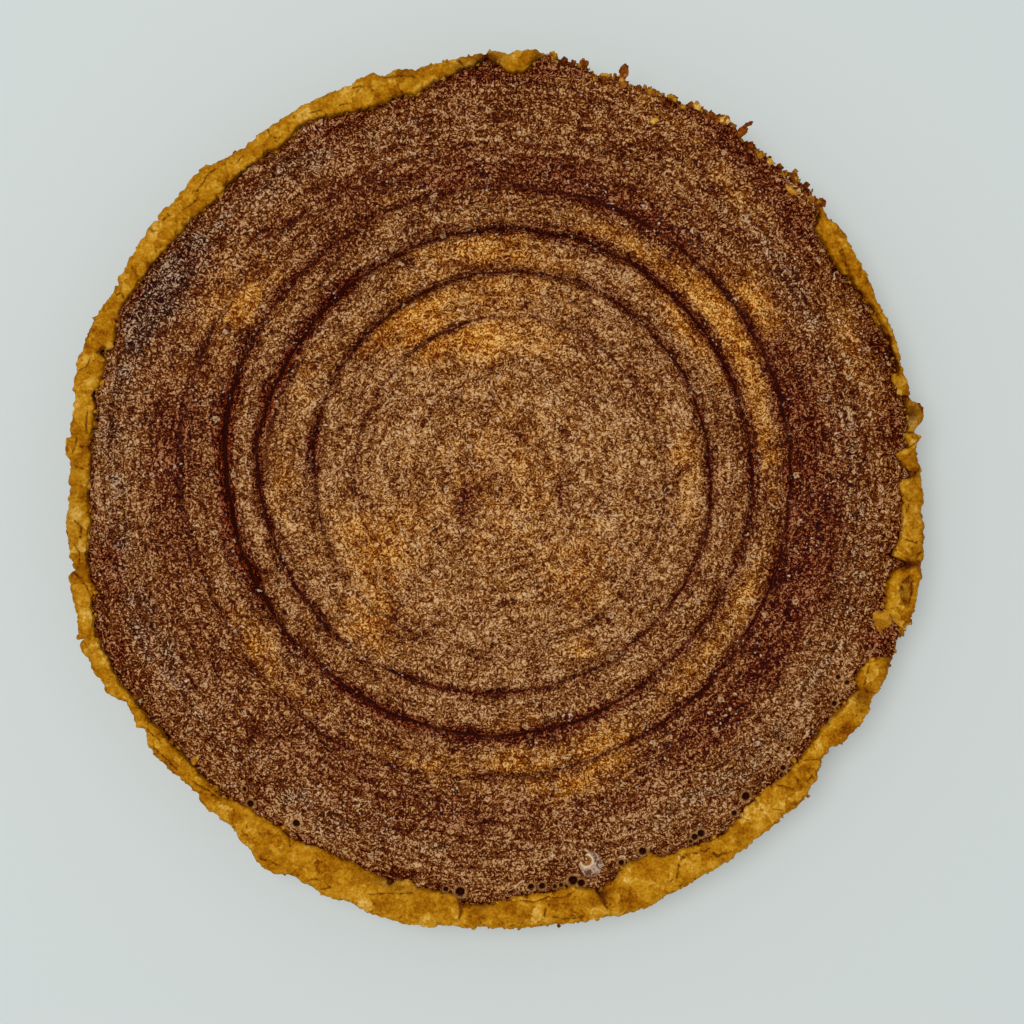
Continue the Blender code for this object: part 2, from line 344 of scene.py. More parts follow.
def finish_piece(
    form: bmesh.types.BMesh, name: str, material: bpy.types.Material
) -> bpy.types.Object:
    """Turn a form into a smooth-shaded piece that rides on the tart.

    Args:
        form: The finished form, which is freed.
        name: The piece's name.
        material: Its finish.

    Returns:
        The new object, with its place in its mesh.
    """
    mesh = bpy.data.meshes.new(name)
    form.to_mesh(mesh)
    form.free()
    mesh.shade_smooth()
    mesh.materials.append(material)
    piece = bpy.data.objects.new(name, mesh)
    bpy.context.scene.collection.objects.link(piece)
    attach(piece, "root")
    triangles = sum(len(face.vertices) - 2 for face in mesh.polygons)
    log.info("%s: %d triangles", name, triangles)
    return piece


@dataclass(frozen=True)
class TartShape:
    """The sizes and curves that the case and the filling share, as in the solid model."""

    mean_radius: float = 105.0 * MM
    rim_height: float = 27.4 * MM
    custard_height: float = 25.8 * MM
    base_radius: float = 97.0 * MM
    base_share: float = 0.3
    thin_rim: float = 1.2 * MM
    wall_thickness: float = 4.5 * MM
    crag_size: float = 5.0 * MM
    crag_height: float = 1.1 * MM
    crag_reach: float = 0.55 * MM
    crust_wave_size: float = 30.0 * MM
    crust_wave_height: float = 1.2 * MM
    dome_height: float = 0.8 * MM
    band_radius: float = 88.0 * MM
    band_width: float = 9.0 * MM
    band_height: float = 0.7 * MM
    uneven_size: float = 42.0 * MM
    uneven_height: float = 1.0 * MM
    edge_fall: float = 1.0 * MM
    edge_fall_width: float = 4.0 * MM
    spill_ease: float = 2.5
    waves: tuple[Wave, ...] = listed(
        Wave,
        (2, 0.82, 93), (3, 0.48, 55), (4, 0.34, 75), (5, 0.25, 60), (6, 0.23, 28), (7, 0.68, 42),
        (8, 0.28, 22),
    )
    bumps: tuple[Bump, ...] = listed(
        Bump,
        (11, 1.1, 2.5), (42, 1.3, 2), (57, 1.3, 2), (85, 1, 3.5), (103, -0.9, 4), (133, 1.2, 2.5),
        (149, -0.9, 4), (162, 1.1, 4), (180, -1, 3), (189, -1.3, 2), (201, 1, 5), (211.5, -1.9, 3),
        (237.5, 1.8, 3), (314, 1, 3), (321.5, -2, 2.5),
    )
    rim_widths: tuple[Stop, ...] = listed(
        Stop,
        (0, 4.4), (12, 1.8), (30, 2.4), (38, 3.2), (60, 0), (88, 1.2), (108, 5.8), (118, 3.6),
        (134, 6), (150, 3.6), (168, 5.2), (184, 5), (211, 1.6), (222, 4.6), (240, 9.8), (256, 9.6),
        (267, 4.4), (278, 7.4), (290, 10.4), (301, 5.8), (312, 8.2), (330, 5.2), (339.5, 1.2),
        (347, 6.4),
    )
    sunk_walls: tuple[Stretch, ...] = (Stretch(40.0, 85.0), Stretch(336.0, 343.0))
    puffed_blob: Bump = Bump(349.0, 1.0 * MM, 4.0)

    def round_noise(self, size: float, layer: float) -> np.ndarray:
        """Tabulate noise that runs round the rim.

        Args:
            size: How far apart its lumps are.
            layer: Which of many unlike noises to read.

        Returns:
            A value from -1 to 1 at each tenth of a degree.
        """
        turns = np.radians(TABLE_ANGLES)
        ring = in_space(self.mean_radius * np.column_stack((np.cos(turns), np.sin(turns))))
        return lumps(ring, size, layer)

    @cached_property
    def outline(self) -> np.ndarray:
        """The radius of the outline from above, round the circle."""
        turns = np.radians(TABLE_ANGLES)
        radii = self.mean_radius + self.crag_reach * self.round_noise(self.crag_size, 3.7)
        for wave in self.waves:
            radii += wave.height * np.cos(wave.count * (turns - math.radians(wave.peak)))
        for bump in self.bumps:
            radii += bump.size * bell(wrapped(TABLE_ANGLES - bump.angle), bump.half_width)
        return radii

    @cached_property
    def rim_width(self) -> np.ndarray:
        """The width of pastry outside the custard, round the circle."""
        widths = np.zeros(len(TABLE_ANGLES))
        for here, after in zip(self.rim_widths, self.rim_widths[1:] + self.rim_widths[:1]):
            span = (after.angle - here.angle) % 360.0
            share = ((TABLE_ANGLES - here.angle) % 360.0) / span
            eased = here.value + (after.value - here.value) * ease(share)
            widths = np.where(share < 1.0, eased, widths)
        return np.maximum(widths, self.thin_rim)

    @cached_property
    def spill(self) -> np.ndarray:
        """How far the wall has sunk under spilt custard, from 0 to 1, round the circle."""
        share = np.zeros(len(TABLE_ANGLES))
        for stretch in self.sunk_walls:
            middle = 0.5 * (stretch.start + stretch.end)
            half = 0.5 * (stretch.end - stretch.start)
            inside = (half - np.abs(wrapped(TABLE_ANGLES - middle))) / self.spill_ease
            share = np.maximum(share, ease(inside))
        return share

    @cached_property
    def custard_edge(self) -> np.ndarray:
        """The radius of the custard's edge, round the circle."""
        return self.outline - self.rim_width * (1.0 - self.spill)

    @cached_property
    def crest_height(self) -> np.ndarray:
        """The height of the crest of the rim, round the circle."""
        heights = self.rim_height + self.crag_height * self.round_noise(self.crag_size, 9.1)
        heights += self.crust_wave_height * self.round_noise(self.crust_wave_size, 5.3)
        blob = bell(wrapped(TABLE_ANGLES - self.puffed_blob.angle), self.puffed_blob.half_width)
        return heights + self.puffed_blob.size * blob

    @cached_property
    def middle(self) -> np.ndarray:
        """The middle of the box round the outline, about the outline's own centre."""
        turns = np.radians(np.arange(0.0, 360.0, 1.5))
        radii = read_round(self.outline, np.arange(0.0, 360.0, 1.5))
        corners = radii[:, None] * np.column_stack((np.cos(turns), np.sin(turns)))
        return 0.5 * (corners.min(axis=0) + corners.max(axis=0))

    def base(self, outline: float | np.ndarray) -> float | np.ndarray:
        """Give the radius of the foot below a radius of the outline."""
        return self.base_radius + self.base_share * (outline - self.mean_radius)

    def polar(self, places: np.ndarray) -> tuple[np.ndarray, np.ndarray]:
        """Turn places in the plane into angles and radii about the outline's own centre.

        Args:
            places: Places in the plane, one a row.

        Returns:
            Their angles from 0 to 360 degrees, and their radii.
        """
        offsets = places + self.middle
        angles = np.degrees(np.arctan2(offsets[:, 1], offsets[:, 0])) % 360.0
        return angles, np.hypot(offsets[:, 0], offsets[:, 1])

    def place(self, angles: np.ndarray, radii: np.ndarray) -> np.ndarray:
        """Turn angles and radii about the outline's own centre into places in the plane."""
        turns = np.radians(angles)
        return np.stack((np.cos(turns) * radii, np.sin(turns) * radii), axis=-1) - self.middle

    def skin_height(self, places: np.ndarray) -> np.ndarray:
        """Give the height of the custard's skin without its creases.

        Args:
            places: Places in the plane, one a row.

        Returns:
            The skin's height at each place.
        """
        angles, radii = self.polar(places)
        heights = self.custard_height + self.dome_height * (1.0 - (radii / self.mean_radius) ** 2)
        heights += self.band_height * bell(radii - self.band_radius, self.band_width)
        heights += self.uneven_height * lumps(in_space(places), self.uneven_size, 0.0)
        gaps = read_round(self.custard_edge, angles) - radii
        return heights - self.edge_fall * bell(gaps, self.edge_fall_width)


@dataclass(frozen=True)
class RimTrace:
    """The crust's broken edges, corner by corner, each an angle and a radius in millimetres."""

    shape: TartShape
    outer_corners: tuple[Pair, ...] = (
        (0, 103.6), (2, 103.4), (2.6, 102.8), (3, 103.3), (5, 102.7), (6.7, 102.5), (7, 103.2),
        (7.7, 103.2), (8, 102.4), (8.6, 102.5), (9.2, 103.4), (9.6, 104.7), (10.2, 105.2),
        (11.2, 105), (12, 104.5), (12.4, 103.2), (13.2, 102.7), (14.2, 103.5), (16, 102.9),
        (20, 103.5), (24, 103.8), (27, 103.4), (28, 103.7), (31, 104.1), (35, 104.7), (38, 105.2),
        (38.6, 104.6), (39.4, 104.2), (40.4, 104.9), (41.2, 105.6), (43, 105.3), (44.2, 106.4),
        (45.2, 105.7), (47.3, 106.2), (48.2, 105.1), (49.6, 104.4), (50.6, 105.2), (52.5, 104.9),
        (55, 104.2), (56.2, 105.7), (57.4, 106.2), (58.4, 106.8), (59.2, 105.9), (61, 106),
        (62.2, 106.5), (63.5, 105.8), (64, 104.6), (65.4, 105), (66, 105.8), (66.8, 104.9),
        (69, 105.2), (70.2, 104.5), (72.2, 104.3), (74, 105), (76.6, 104.4), (77.6, 105.1),
        (78.3, 106.7), (79.2, 106.1), (81, 106.4), (82.4, 107.2), (87, 107.2), (88.5, 106.1),
        (90, 107), (92, 106.4), (93, 105.9), (95, 105.4), (99, 104.8), (100.5, 104.2),
        (101.2, 104.7), (103, 104.8), (105, 104.2), (105.9, 104.9), (106.2, 105.5), (108.9, 105.1),
        (109.2, 104.5), (113, 104.9), (117, 104.5), (120, 103.9), (122.5, 103.9), (124, 103.3),
        (126, 103.3), (127.5, 104), (130, 104.3), (131, 105), (131.4, 105.8), (133, 105.8),
        (137, 105), (140.5, 105.5), (141, 104.8), (142, 105.4), (146, 105), (149.5, 104.8),
        (150.2, 105.4), (150.8, 104.4), (151.2, 103.8), (152, 104.3), (155, 105.4), (157, 105.8),
        (160, 105.7), (163.2, 106), (163.8, 105.1), (166.3, 105.1), (166.8, 104.2), (171, 103.6),
        (172.5, 103.6), (172.8, 104.7), (174.5, 104.3), (176, 103.3), (180, 102.6), (181, 103.1),
        (183, 103.6), (187, 104), (190, 103.5), (190.5, 103.4), (190.7, 105.1), (191, 105.7),
        (195, 105.8), (196.5, 105.4), (198, 106.1), (199.3, 106.7), (199.6, 105.1), (199.9, 106.5),
        (200.4, 106.9), (204, 106), (206, 105.5), (207.3, 105.8), (207.6, 105.1), (208.5, 104),
        (209.3, 103.1), (209.6, 102.4), (211.8, 102.4), (212.2, 103.3), (213.2, 103.3),
        (213.9, 101.7), (216, 103.6), (218, 103.9), (223, 102.9), (225.6, 102.6), (226, 103.4),
        (229, 103.1), (232.6, 103.1), (233, 104), (235, 104.6), (236, 105.5), (237, 106.4),
        (238.5, 106.7), (240, 106.4), (241, 105.4), (242.5, 105), (244, 105.4), (249, 105.7),
        (249.6, 105), (251, 105.2), (252, 105.9), (257, 106.6), (260, 106.3), (264, 105.4),
        (270, 105.5), (280, 106.1), (285, 106.3), (288.5, 107), (291, 106.7), (295, 106),
        (300, 105.7), (303, 105.2), (312, 105.1), (316, 105.5), (316.6, 104.9), (319.5, 103.4),
        (321, 101.7), (323, 102.1), (323.4, 103), (326.5, 104.6), (330, 104.7), (332, 104.2),
        (334.8, 105.1), (336, 104.5), (340, 104.4), (342.5, 105.4), (346, 105.3), (350, 104.8),
        (352, 104.3), (354, 104.5), (355.5, 104.2), (357, 103.4), (357.8, 102.9), (358.6, 103.4),
    )
    inner_corners: tuple[Pair, ...] = (
        (0, 98.7), (1, 98.2), (1.8, 98.8), (2.2, 101.2), (2.7, 101.8), (3.1, 100.4), (3.8, 99.2),
        (4.8, 97.7), (5.6, 97.6), (6, 99.2), (6.6, 100.4), (7.5, 100.4), (8, 100), (8.4, 101.3),
        (9, 101.9), (12, 101.5), (13, 101.7), (14, 101), (15.5, 100.4), (16.5, 99.9), (16.9, 101.9),
        (20, 102), (22, 101.7), (24, 100.9), (26, 101.2), (28, 100.4), (30, 99.8), (34, 99.6),
        (35.5, 99.4), (37, 99.9), (39.4, 100.5), (40.1, 102), (40.8, 104), (83.5, 106.5),
        (84.5, 105.4), (85.5, 103), (86.3, 101.8), (88.4, 102), (89.2, 103.6), (90.5, 104.6),
        (91.5, 104.9), (93, 103.5), (94.5, 103), (96, 101.9), (98, 101.1), (100, 99.5),
        (101.3, 98.4), (102.5, 99.2), (104, 99.2), (106, 98.6), (109, 98.1), (111, 98.9),
        (115, 100.2), (116.5, 100.8), (118, 100.6), (120, 99.4), (121.5, 98.9), (122.5, 98.3),
        (123.5, 99.3), (125, 98.7), (128, 99), (131.5, 98.7), (132.5, 98.1), (134, 98), (138, 98.9),
        (142, 99.2), (146, 100.1), (150, 100.2), (153, 101), (155, 101.2), (156.5, 100.3),
        (159.2, 98.6), (159.8, 99.2), (160.2, 101.2), (160.8, 100.8), (161.2, 99.4), (165, 99.2),
        (166, 100), (167, 99.7), (168, 98.8), (172, 98.7), (175.5, 98.1), (177, 98.5), (180, 98.7),
        (182.5, 98.3), (184, 98.2), (186, 99.2), (188.5, 100), (192, 100.4), (193.2, 99.9),
        (194, 99.8), (194.8, 100.7), (196, 101.6), (199, 102.5), (201, 102.7), (203, 101.9),
        (207, 102.1), (210, 100.9), (213.5, 100.2), (215, 99.2), (218.5, 99.2), (221.5, 98.9),
        (228.3, 99.1), (229.5, 97.8), (231, 97.2), (236.5, 96.4), (239.5, 97.3), (241.5, 96.7),
        (245, 96.1), (250, 96.3), (253, 97.3), (254.5, 97.3), (255, 98.2), (256, 96.8),
        (257.5, 96.2), (259, 97.6), (262, 97.3), (263.5, 97.6), (264.8, 98.8), (265.3, 100.4),
        (266, 99.7), (267.5, 100), (270, 99), (273.5, 98), (277, 97.6), (281, 97.4), (283.7, 98.9),
        (284.4, 99.6), (284.8, 100.6), (285.2, 99.6), (286, 98.6), (287, 98.3), (288.8, 96.5),
        (290, 95.5), (292, 95.2), (293.5, 95.4), (294.2, 96.8), (296.5, 97.4), (298.5, 97.6),
        (300, 98.4), (303, 99.4), (307, 98.4), (309, 97.5), (312.5, 97.4), (315.5, 98.1),
        (319, 98.1), (322, 97.5), (324, 97.6), (327.5, 98.9), (330, 99.2), (331.5, 100.3),
        (332.5, 98.5), (333.5, 97.8), (336, 99.1), (337, 100), (337.6, 102.1), (338.3, 104),
        (341, 104.2), (341.4, 101.5), (342.6, 100), (343, 98.5), (346, 97.6), (347.5, 97.4),
        (348.8, 98.2), (349.6, 99.4), (350.2, 100.9), (351, 97.6), (352, 97.8), (354, 99.1),
        (357, 98.6),
    )
    chips: tuple[Pair, ...] = ((2.4 * MM, 0.2 * MM), (1.0 * MM, 0.15 * MM))
    chip_step: float = 0.4
    thinnest: float = 0.7 * MM

    def run(self, corners: tuple[Pair, ...], layer: float) -> np.ndarray:
        """Tabulate an edge round the circle, with its small chips.

        Args:
            corners: The edge's corners.
            layer: Which noise chips it.

        Returns:
            The edge's radius at each tenth of a degree.
        """
        marks = np.array(corners)
        radii = np.interp(TABLE_ANGLES, marks[:, 0], marks[:, 1], period=360.0) * MM
        for step, (size, height) in enumerate(self.chips):
            chipped = self.shape.round_noise(size, layer + step)
            radii = radii + height * (chipped + self.chip_step * np.sign(chipped))
        return radii

    @cached_property
    def outer(self) -> np.ndarray:
        """The radius of the crust's outer edge, round the circle."""
        return self.run(self.outer_corners, 70.0)

    @cached_property
    def inner(self) -> np.ndarray:
        """The radius of the crust's inner edge, round the circle."""
        inner = np.minimum(self.run(self.inner_corners, 75.0), self.outer - self.thinnest)
        return inner + (self.outer - inner) * self.shape.spill


@dataclass(frozen=True)
class SpiralCrease:
    """The crease pressed into the skin: one spiral line that turns inwards anticlockwise."""

    middle: Pair = (0.7 * MM, 4.5 * MM)
    start: float = 150.0
    end: float = 1610.0
    radius: float = 77.4 * MM
    pitch: float = 10.2 * MM
    depth: float = 0.45 * MM
    fade: float = 50.0
    half_width: float = 0.6 * MM
    sharpness: float = 1.6
    shoulder: float = 1.7 * MM
    shoulder_height: float = 0.2 * MM
    shoulder_width: float = 1.0 * MM
    ridge_height: float = 0.5 * MM
    wobbles: tuple[Pair, ...] = ((8.0 * MM, 0.5 * MM), (2.6 * MM, 0.22 * MM))
    wanders: tuple[Bump, ...] = listed(
        Bump,
        (178, 1.4, 18), (242, 1.4, 22), (345, -0.7, 60), (545, -1.6, 25), (590, -1.3, 20),
        (895, 2.3, 22), (940, 1.1, 22), (1062, 0.9, 30), (1140, 1, 22), (1200, -1, 22),
        (1258, -1.3, 24), (182, -0.9, 25), (530, 1.3, 22), (672, -0.9, 14), (1152, -0.6, 22),
        (1224, -0.8, 20), (1470, -1, 35), (1575, -2, 50),
    )
    extras: tuple[Bump, ...] = listed(
        Bump,
        (545, 0.5, 60), (810, 0.9, 80), (1175, 0.8, 80), (1550, -0.3, 120),
    )
    marks: tuple[Mark, ...] = listed(
        Mark,
        (60, 0, 0.8), (150, 0.25, 1.2), (175, 0.6, 2), (195, 0.35, 0.8), (230, 0.35, 0.8),
        (234, 0.6, 1.2), (245, 0.4, 0.9), (285, 0.4, 0.8), (300, 0.7, 1.2), (340, 0.75, 1.3),
        (365, 0.8, 2), (385, 0.8, 2), (400, 0.6, 1.2), (425, 0.8, 2.2), (450, 0.5, 1),
        (480, 0.55, 1), (505, 0.7, 1.2), (518, 0.9, 2), (530, 1.1, 2.8), (562, 1.1, 2.8),
        (572, 0.85, 1.4), (588, 0.9, 1.4), (600, 1.05, 1.8), (650, 1.05, 1.8), (662, 0.7, 1),
        (700, 0.65, 1), (715, 0.9, 1.4), (745, 1, 1.6), (790, 1, 1.5), (812, 0.75, 1),
        (840, 0.7, 1), (850, 1.05, 1.8), (885, 1.05, 1.8), (900, 0.8, 1.3), (935, 0.7, 1.1),
        (948, 0.6, 0.8), (953, 0.2, 0.6), (958, 0.2, 0.6), (963, 0.75, 1), (1000, 0.7, 0.9),
        (1010, 0.35, 0.7), (1025, 0.6, 0.9), (1060, 0.6, 1), (1085, 0.8, 1), (1140, 0.7, 1),
        (1155, 0.55, 0.8), (1180, 0.85, 1.3), (1200, 0.7, 1), (1240, 0.55, 0.8), (1247, 0.9, 1.4),
        (1258, 0.9, 1.4), (1265, 0.45, 0.8), (1310, 0.25, 0.7), (1330, 0.1, 0.6), (1380, 0.2, 0.6),
        (1440, 0.3, 0.7), (1540, 0.3, 0.8), (1545, 0.7, 1.2), (1555, 0.6, 1), (1570, 0.35, 0.7),
        (1610, 0.4, 0.7), (1640, 0.15, 0.6), (1680, 0, 0.6),
    )
    darkness_sway: float = 0.25
    darkness_size: float = 9.0 * MM

    def line(self, turned: np.ndarray) -> np.ndarray:
        """Follow the crease inwards.

        Args:
            turned: How many degrees it has turned.

        Returns:
            Its radius there.
        """
        radii = self.radius - self.pitch * (turned - self.start) / 360.0
        for wander in self.wanders:
            radii = radii + wander.size * bell(turned - wander.angle, wander.half_width)
        return radii

    def strength(self, turned: np.ndarray) -> np.ndarray:
        """Give how strong the crease is along its way.

        Args:
            turned: How many degrees it has turned.

        Returns:
            Its depth there, as a share of its plain depth.
        """
        depths = np.full(np.shape(turned), self.depth)
        for extra in self.extras:
            depths = depths + extra.size * bell(turned - extra.angle, extra.half_width)
        faded = ease((turned - self.start) / self.fade) * ease((self.end - turned) / self.fade)
        return depths * faded / self.depth

    def read(self, places: np.ndarray) -> tuple[np.ndarray, np.ndarray, np.ndarray, np.ndarray]:
        """Find where each place lies between the crease's turns.

        Args:
            places: Places in the plane, one a row.

        Returns:
            The distance from the nearest turn, outwards; the same as a phase that reaches pi half
            way to the next turn; that turn's strength; and how dark and how wide it has burnt.
        """
        offsets = places - np.array(self.middle)
        turned = np.degrees(np.arctan2(offsets[:, 1], offsets[:, 0])) % 360.0
        reach = np.hypot(offsets[:, 0], offsets[:, 1])
        for layer, (size, sway) in enumerate(self.wobbles):
            reach = reach + sway * lumps(in_space(places), size, 20.0 + layer)
        nearest = np.full(len(places), FAR_AWAY)
        phase = np.full(len(places), math.pi)
        strength = np.zeros(len(places))
        burns = np.zeros((len(places), 2))
        marks = np.array([(mark.turned, mark.dark, mark.width) for mark in self.marks])
        while turned.min() <= self.marks[-1].turned:
            here = self.line(turned)
            distance = reach - here
            outwards, inwards = self.line(turned - 360.0) - here, here - self.line(turned + 360.0)
            spacing = np.where(distance > 0.0, outwards, inwards)
            better = np.abs(distance) < np.abs(nearest)
            nearest = np.where(better, distance, nearest)
            here_phase = np.clip(2.0 * math.pi * distance / spacing, -math.pi, math.pi)
            phase = np.where(better, here_phase, phase)
            strength = np.where(better, self.strength(turned), strength)
            for column in (0, 1):
                burnt = marks[:, 1 + column]
                burnt = np.interp(turned, marks[:, 0], burnt, left=0.0, right=0.0)
                burns[:, column] = np.where(better, burnt, burns[:, column])
            turned = turned + 360.0
        sways = lumps(in_space(places), self.darkness_size, 25.0) / USUAL_LUMP
        burns[:, 0] *= 1.0 + self.darkness_sway * sways
        return nearest, phase, strength, burns

    def relief(self, distance: np.ndarray, phase: np.ndarray, strength: np.ndarray) -> np.ndarray:
        """Give the rise and fall of the skin across the crease.

        Args:
            distance: How far each place is from the nearest turn.
            phase: The same, as a phase that reaches pi half way to the next turn.
            strength: That turn's strength.

        Returns:
            The height of the crease's bed, its shoulders and the ridge between turns.
        """
        bed = np.exp(-((np.abs(distance) / self.half_width) ** self.sharpness))
        shoulders = bell(np.abs(distance) - self.shoulder, self.shoulder_width)
        ridge = ease(np.abs(phase) / math.pi)
        rise = self.shoulder_height * shoulders + self.ridge_height * ridge - self.depth * bed
        return rise * strength


class Tone(Enum):
    """The skin's tones, each from the dark of its pores, partly painted shade, to the pale of its
    dry flecks, partly painted glints.
    """

    PALENESS = ("#320500", "#6B390E", "#825224", "#986A3E", "#CAA278")
    BROWN = ("#260000", "#501D00", "#673309", "#824F22", "#BC9468")
    GOLD = ("#581600", "#8F4B03", "#A96718", "#BF8230", "#E2B26A")
    # A grey tone that paints sheen: the soft light's painted highlight on the skin.
    PAINTED_SHEEN = ("#140000", "#300C01", "#47220E", "#6A462C", "#B09880")
    MAROON = ("#1A0000", "#360400", "#4D1300", "#6C2E0A", "#A07048")


@dataclass(frozen=True)
class CustardSkinFinish:
    """Baked egg custard whose top has dried and browned in the oven.

    The dried skin is finely flecked, pale beige on dark red-brown, its pale flecks partly painted
    glints and its dark pores and wrinkle lines partly painted shade. It has more golden stretches
    and duller grey ones of painted sheen, and it stays a little glossy. It burns to maroon along
    each crease and at the rim.
    """

    tone_places: tuple[float, ...] = (0.06, 0.36, 0.5, 0.64, 0.94)
    evenness: float = 0.48
    wrinkle: tuple[float, float, float] = (2.0 * MM, 34.0, 0.22)
    fleck: tuple[float, float, float] = (1.3 * MM, 22.0, 0.19)
    pore: Pair = (0.33 * MM, 0.9)
    blotch: Pair = (2.4 * MM, 0.4)
    mottle: Pair = (8.0 * MM, 0.5)
    streak: tuple[float, float, float] = (9.0 * MM, 0.9 * MM, 0.75)
    strand: Pair = (6.0 * MM, 0.8 * MM)
    streak_middle: tuple[float, float, float] = (0.7 * MM, 4.5 * MM, 0.0)
    crease_pitch: float = 10.2
    tear_sizes: tuple[float, float, float] = (1.1 * MM, 2.6 * MM, 9.0 * MM)
    bump_height: float = 0.12 * MM
    roughness: float = 0.5
    gloss: float = 0.03
    crease_colour: str = "#240400"
    crease_colours: Stops = ((0.2, "#200000"), (0.5, "#3E0800"), (0.85, "#782E0A"))
    # A pale painted highlight round each burst bubble's rim.
    hole_highlight_colour: str = "#A27440"
    hole_highlight_share: float = 0.6
    bubble_size: float = 3.4 * MM
    bubble_bend: Pair = (0.7 * MM, 0.4)
    # Each burst bubble's ring is a painted highlight round its rim, and its floor is painted shade.
    bubble_rim_highlight_colour: str = "#C8A47A"
    bubble_pit_shade_colour: str = "#6A3810"
    # Pale specks, alone and in clusters, are painted glints.
    glint_colour: str = "#DCC0A0"
    glint_size: float = 0.75 * MM
    glint_ends: tuple[float, float, float] = (0.69, 0.77, 0.6)
    glint_spread: float = 5.0 * MM
    glint_spread_ends: tuple[float, float, float] = (0.54, 0.66, 1.0)
    # Painted shade inside each burst bubble's hole.
    painted_hole_shade_colour: str = "#2C0A04"

    def build(self) -> bpy.types.Material:
        """Build the material.

        Returns:
            The finished material.
        """
        skin = Layout("baked_custard_skin")
        place = skin.add("TexCoord")
        reads = {name: skin.add("Attribute", attribute_name=name) for name in SKIN_READS}
        grain = self.grain(skin, place)
        colour = self.tones(skin, place, grain, reads)
        colour = self.creases(skin, place, grain, colour, reads)
        colour = self.bubbles(skin, place, colour)
        # Burst holes: a painted highlight round each rim, and painted shade inside.
        rim = skin.add("Math", (reads["hole_highlight"], self.hole_highlight_share), operation="MULTIPLY")
        colour = skin.stain(colour, ((rim, self.hole_highlight_colour), (reads["hole"], self.painted_hole_shade_colour)))
        bump = skin.add("Bump", {"Height": grain, "Distance": self.bump_height, "Strength": 1.0})
        looks = {"Base Color": colour, "Normal": bump, "Roughness": self.roughness}
        return skin.close({**looks, "Specular IOR Level": self.gloss})

    def wrinkles(self, skin: Layout, place: Socket, size: float, turns: float) -> Socket:
        """Lay out curly wrinkles, as the contour lines of soft hills, whose dark lines are painted
        shade.

        Args:
            skin: The material that takes the nodes.
            place: Where on the tart they are read.
            size: How far apart the hills are.
            turns: How many radians of wave the hills' whole height has.

        Returns:
            A wave from -1 in the wrinkles to 1 between them.
        """
        looks = {"Vector": place, "Scale": 1.0 / size, "Detail": 1.0, "Distortion": 0.5}
        hills = skin.add("TexNoise", looks)
        turned = skin.add("Math", (hills, turns), operation="MULTIPLY")
        return skin.add("Math", (turned,), operation="SINE")

    def ring_place(self, skin: Layout, place: Socket, length: float, width: float) -> Socket:
        """Stretch the place along the rings about the middle.

        Args:
            skin: The material that takes the nodes.
            place: Where on the tart it is read.
            length: A unit's length along the rings.
            width: A unit's width across them.

        Returns:
            The stretched place.
        """
        offset = skin.add("VectorMath", (place, self.streak_middle), operation="SUBTRACT")
        radius = skin.add("VectorMath", (offset,), operation="LENGTH").node.outputs["Value"]
        across = skin.add("Math", (radius, 1.0 / width), operation="MULTIPLY")
        along = skin.add("VectorMath", {0: offset, "Scale": 1.0 / length}, operation="SCALE")
        across = skin.add("CombineXYZ", {"Z": across})
        return skin.add("VectorMath", (along, across), operation="ADD")

    def grain(self, skin: Layout, place: Socket) -> Socket:
        """Lay out the skin's wrinkles, flecks, pores, mottles and streaks; the dark wrinkle lines
        and pores are partly painted shade and the pale flecks partly painted glints, over the
        skin's own grain.

        Args:
            skin: The material that takes the nodes.
            place: Where on the tart the skin is read.

        Returns:
            How pale the skin is at a place, about 0.5 on the whole.
        """
        parts = [
            (self.wrinkles(skin, place, size, turns), share, 0.0)
            for size, turns, share in (self.wrinkle, self.fleck)
        ]
        for (size, share), detail, roughness in (
            (self.pore, 0.0, 0.5),
            (self.blotch, 1.0, 0.5),
            (self.mottle, 3.0, 0.65),
        ):
            looks = {"Vector": place, "Scale": 1.0 / size, "Detail": detail, "Roughness": roughness}
            parts.append((skin.add("TexNoise", looks), share, 0.5))
        ring = self.ring_place(skin, place, *self.streak[:2])
        streaks = skin.add("TexNoise", {"Vector": ring, "Scale": 1.0, "Detail": 2.0})
        parts.append((streaks, self.streak[2], 0.5))
        total = self.evenness - sum(share * middle for _, share, middle in parts)
        for value, share, _ in parts:
            total = skin.add("Math", (value, share, total), operation="MULTIPLY_ADD")
        return total

    def bubbles(self, skin: Layout, place: Socket, colour: Socket) -> Socket:
        """Scatter white specks, which are painted glints, and the rings that burst bubbles have
        left, painted as a highlight round a pit of painted shade.

        Args:
            skin: The material that takes the nodes.
            place: Where on the tart they are read.
            colour: The skin's colour without them.

        Returns:
            The colour with them.
        """
        size, sway = self.bubble_bend
        bent = skin.add("TexNoise", {"Vector": place, "Scale": 1.0 / size, "Detail": 1.0})
        cells = skin.add("TexVoronoi", {"Vector": place, "Scale": 1.0 / self.bubble_size})
        reach = skin.add("Math", (bent, sway, cells), operation="MULTIPLY_ADD")
        small, spread = (
            skin.add("TexNoise", {"Vector": place, "Scale": 1.0 / size, "Detail": detail})
            for size, detail in ((self.glint_size, 0.0), (self.glint_spread, 1.0))
        )
        small, spread = (
            skin.add(
                "MapRange", {"Value": value, "From Min": low, "From Max": high, "To Max": most}
            )
            for value, (low, high, most) in ((small, self.glint_ends), (spread, self.glint_spread_ends))
        )
        stains = [(skin.add("Math", (small, spread), operation="MULTIPLY"), self.glint_colour)]
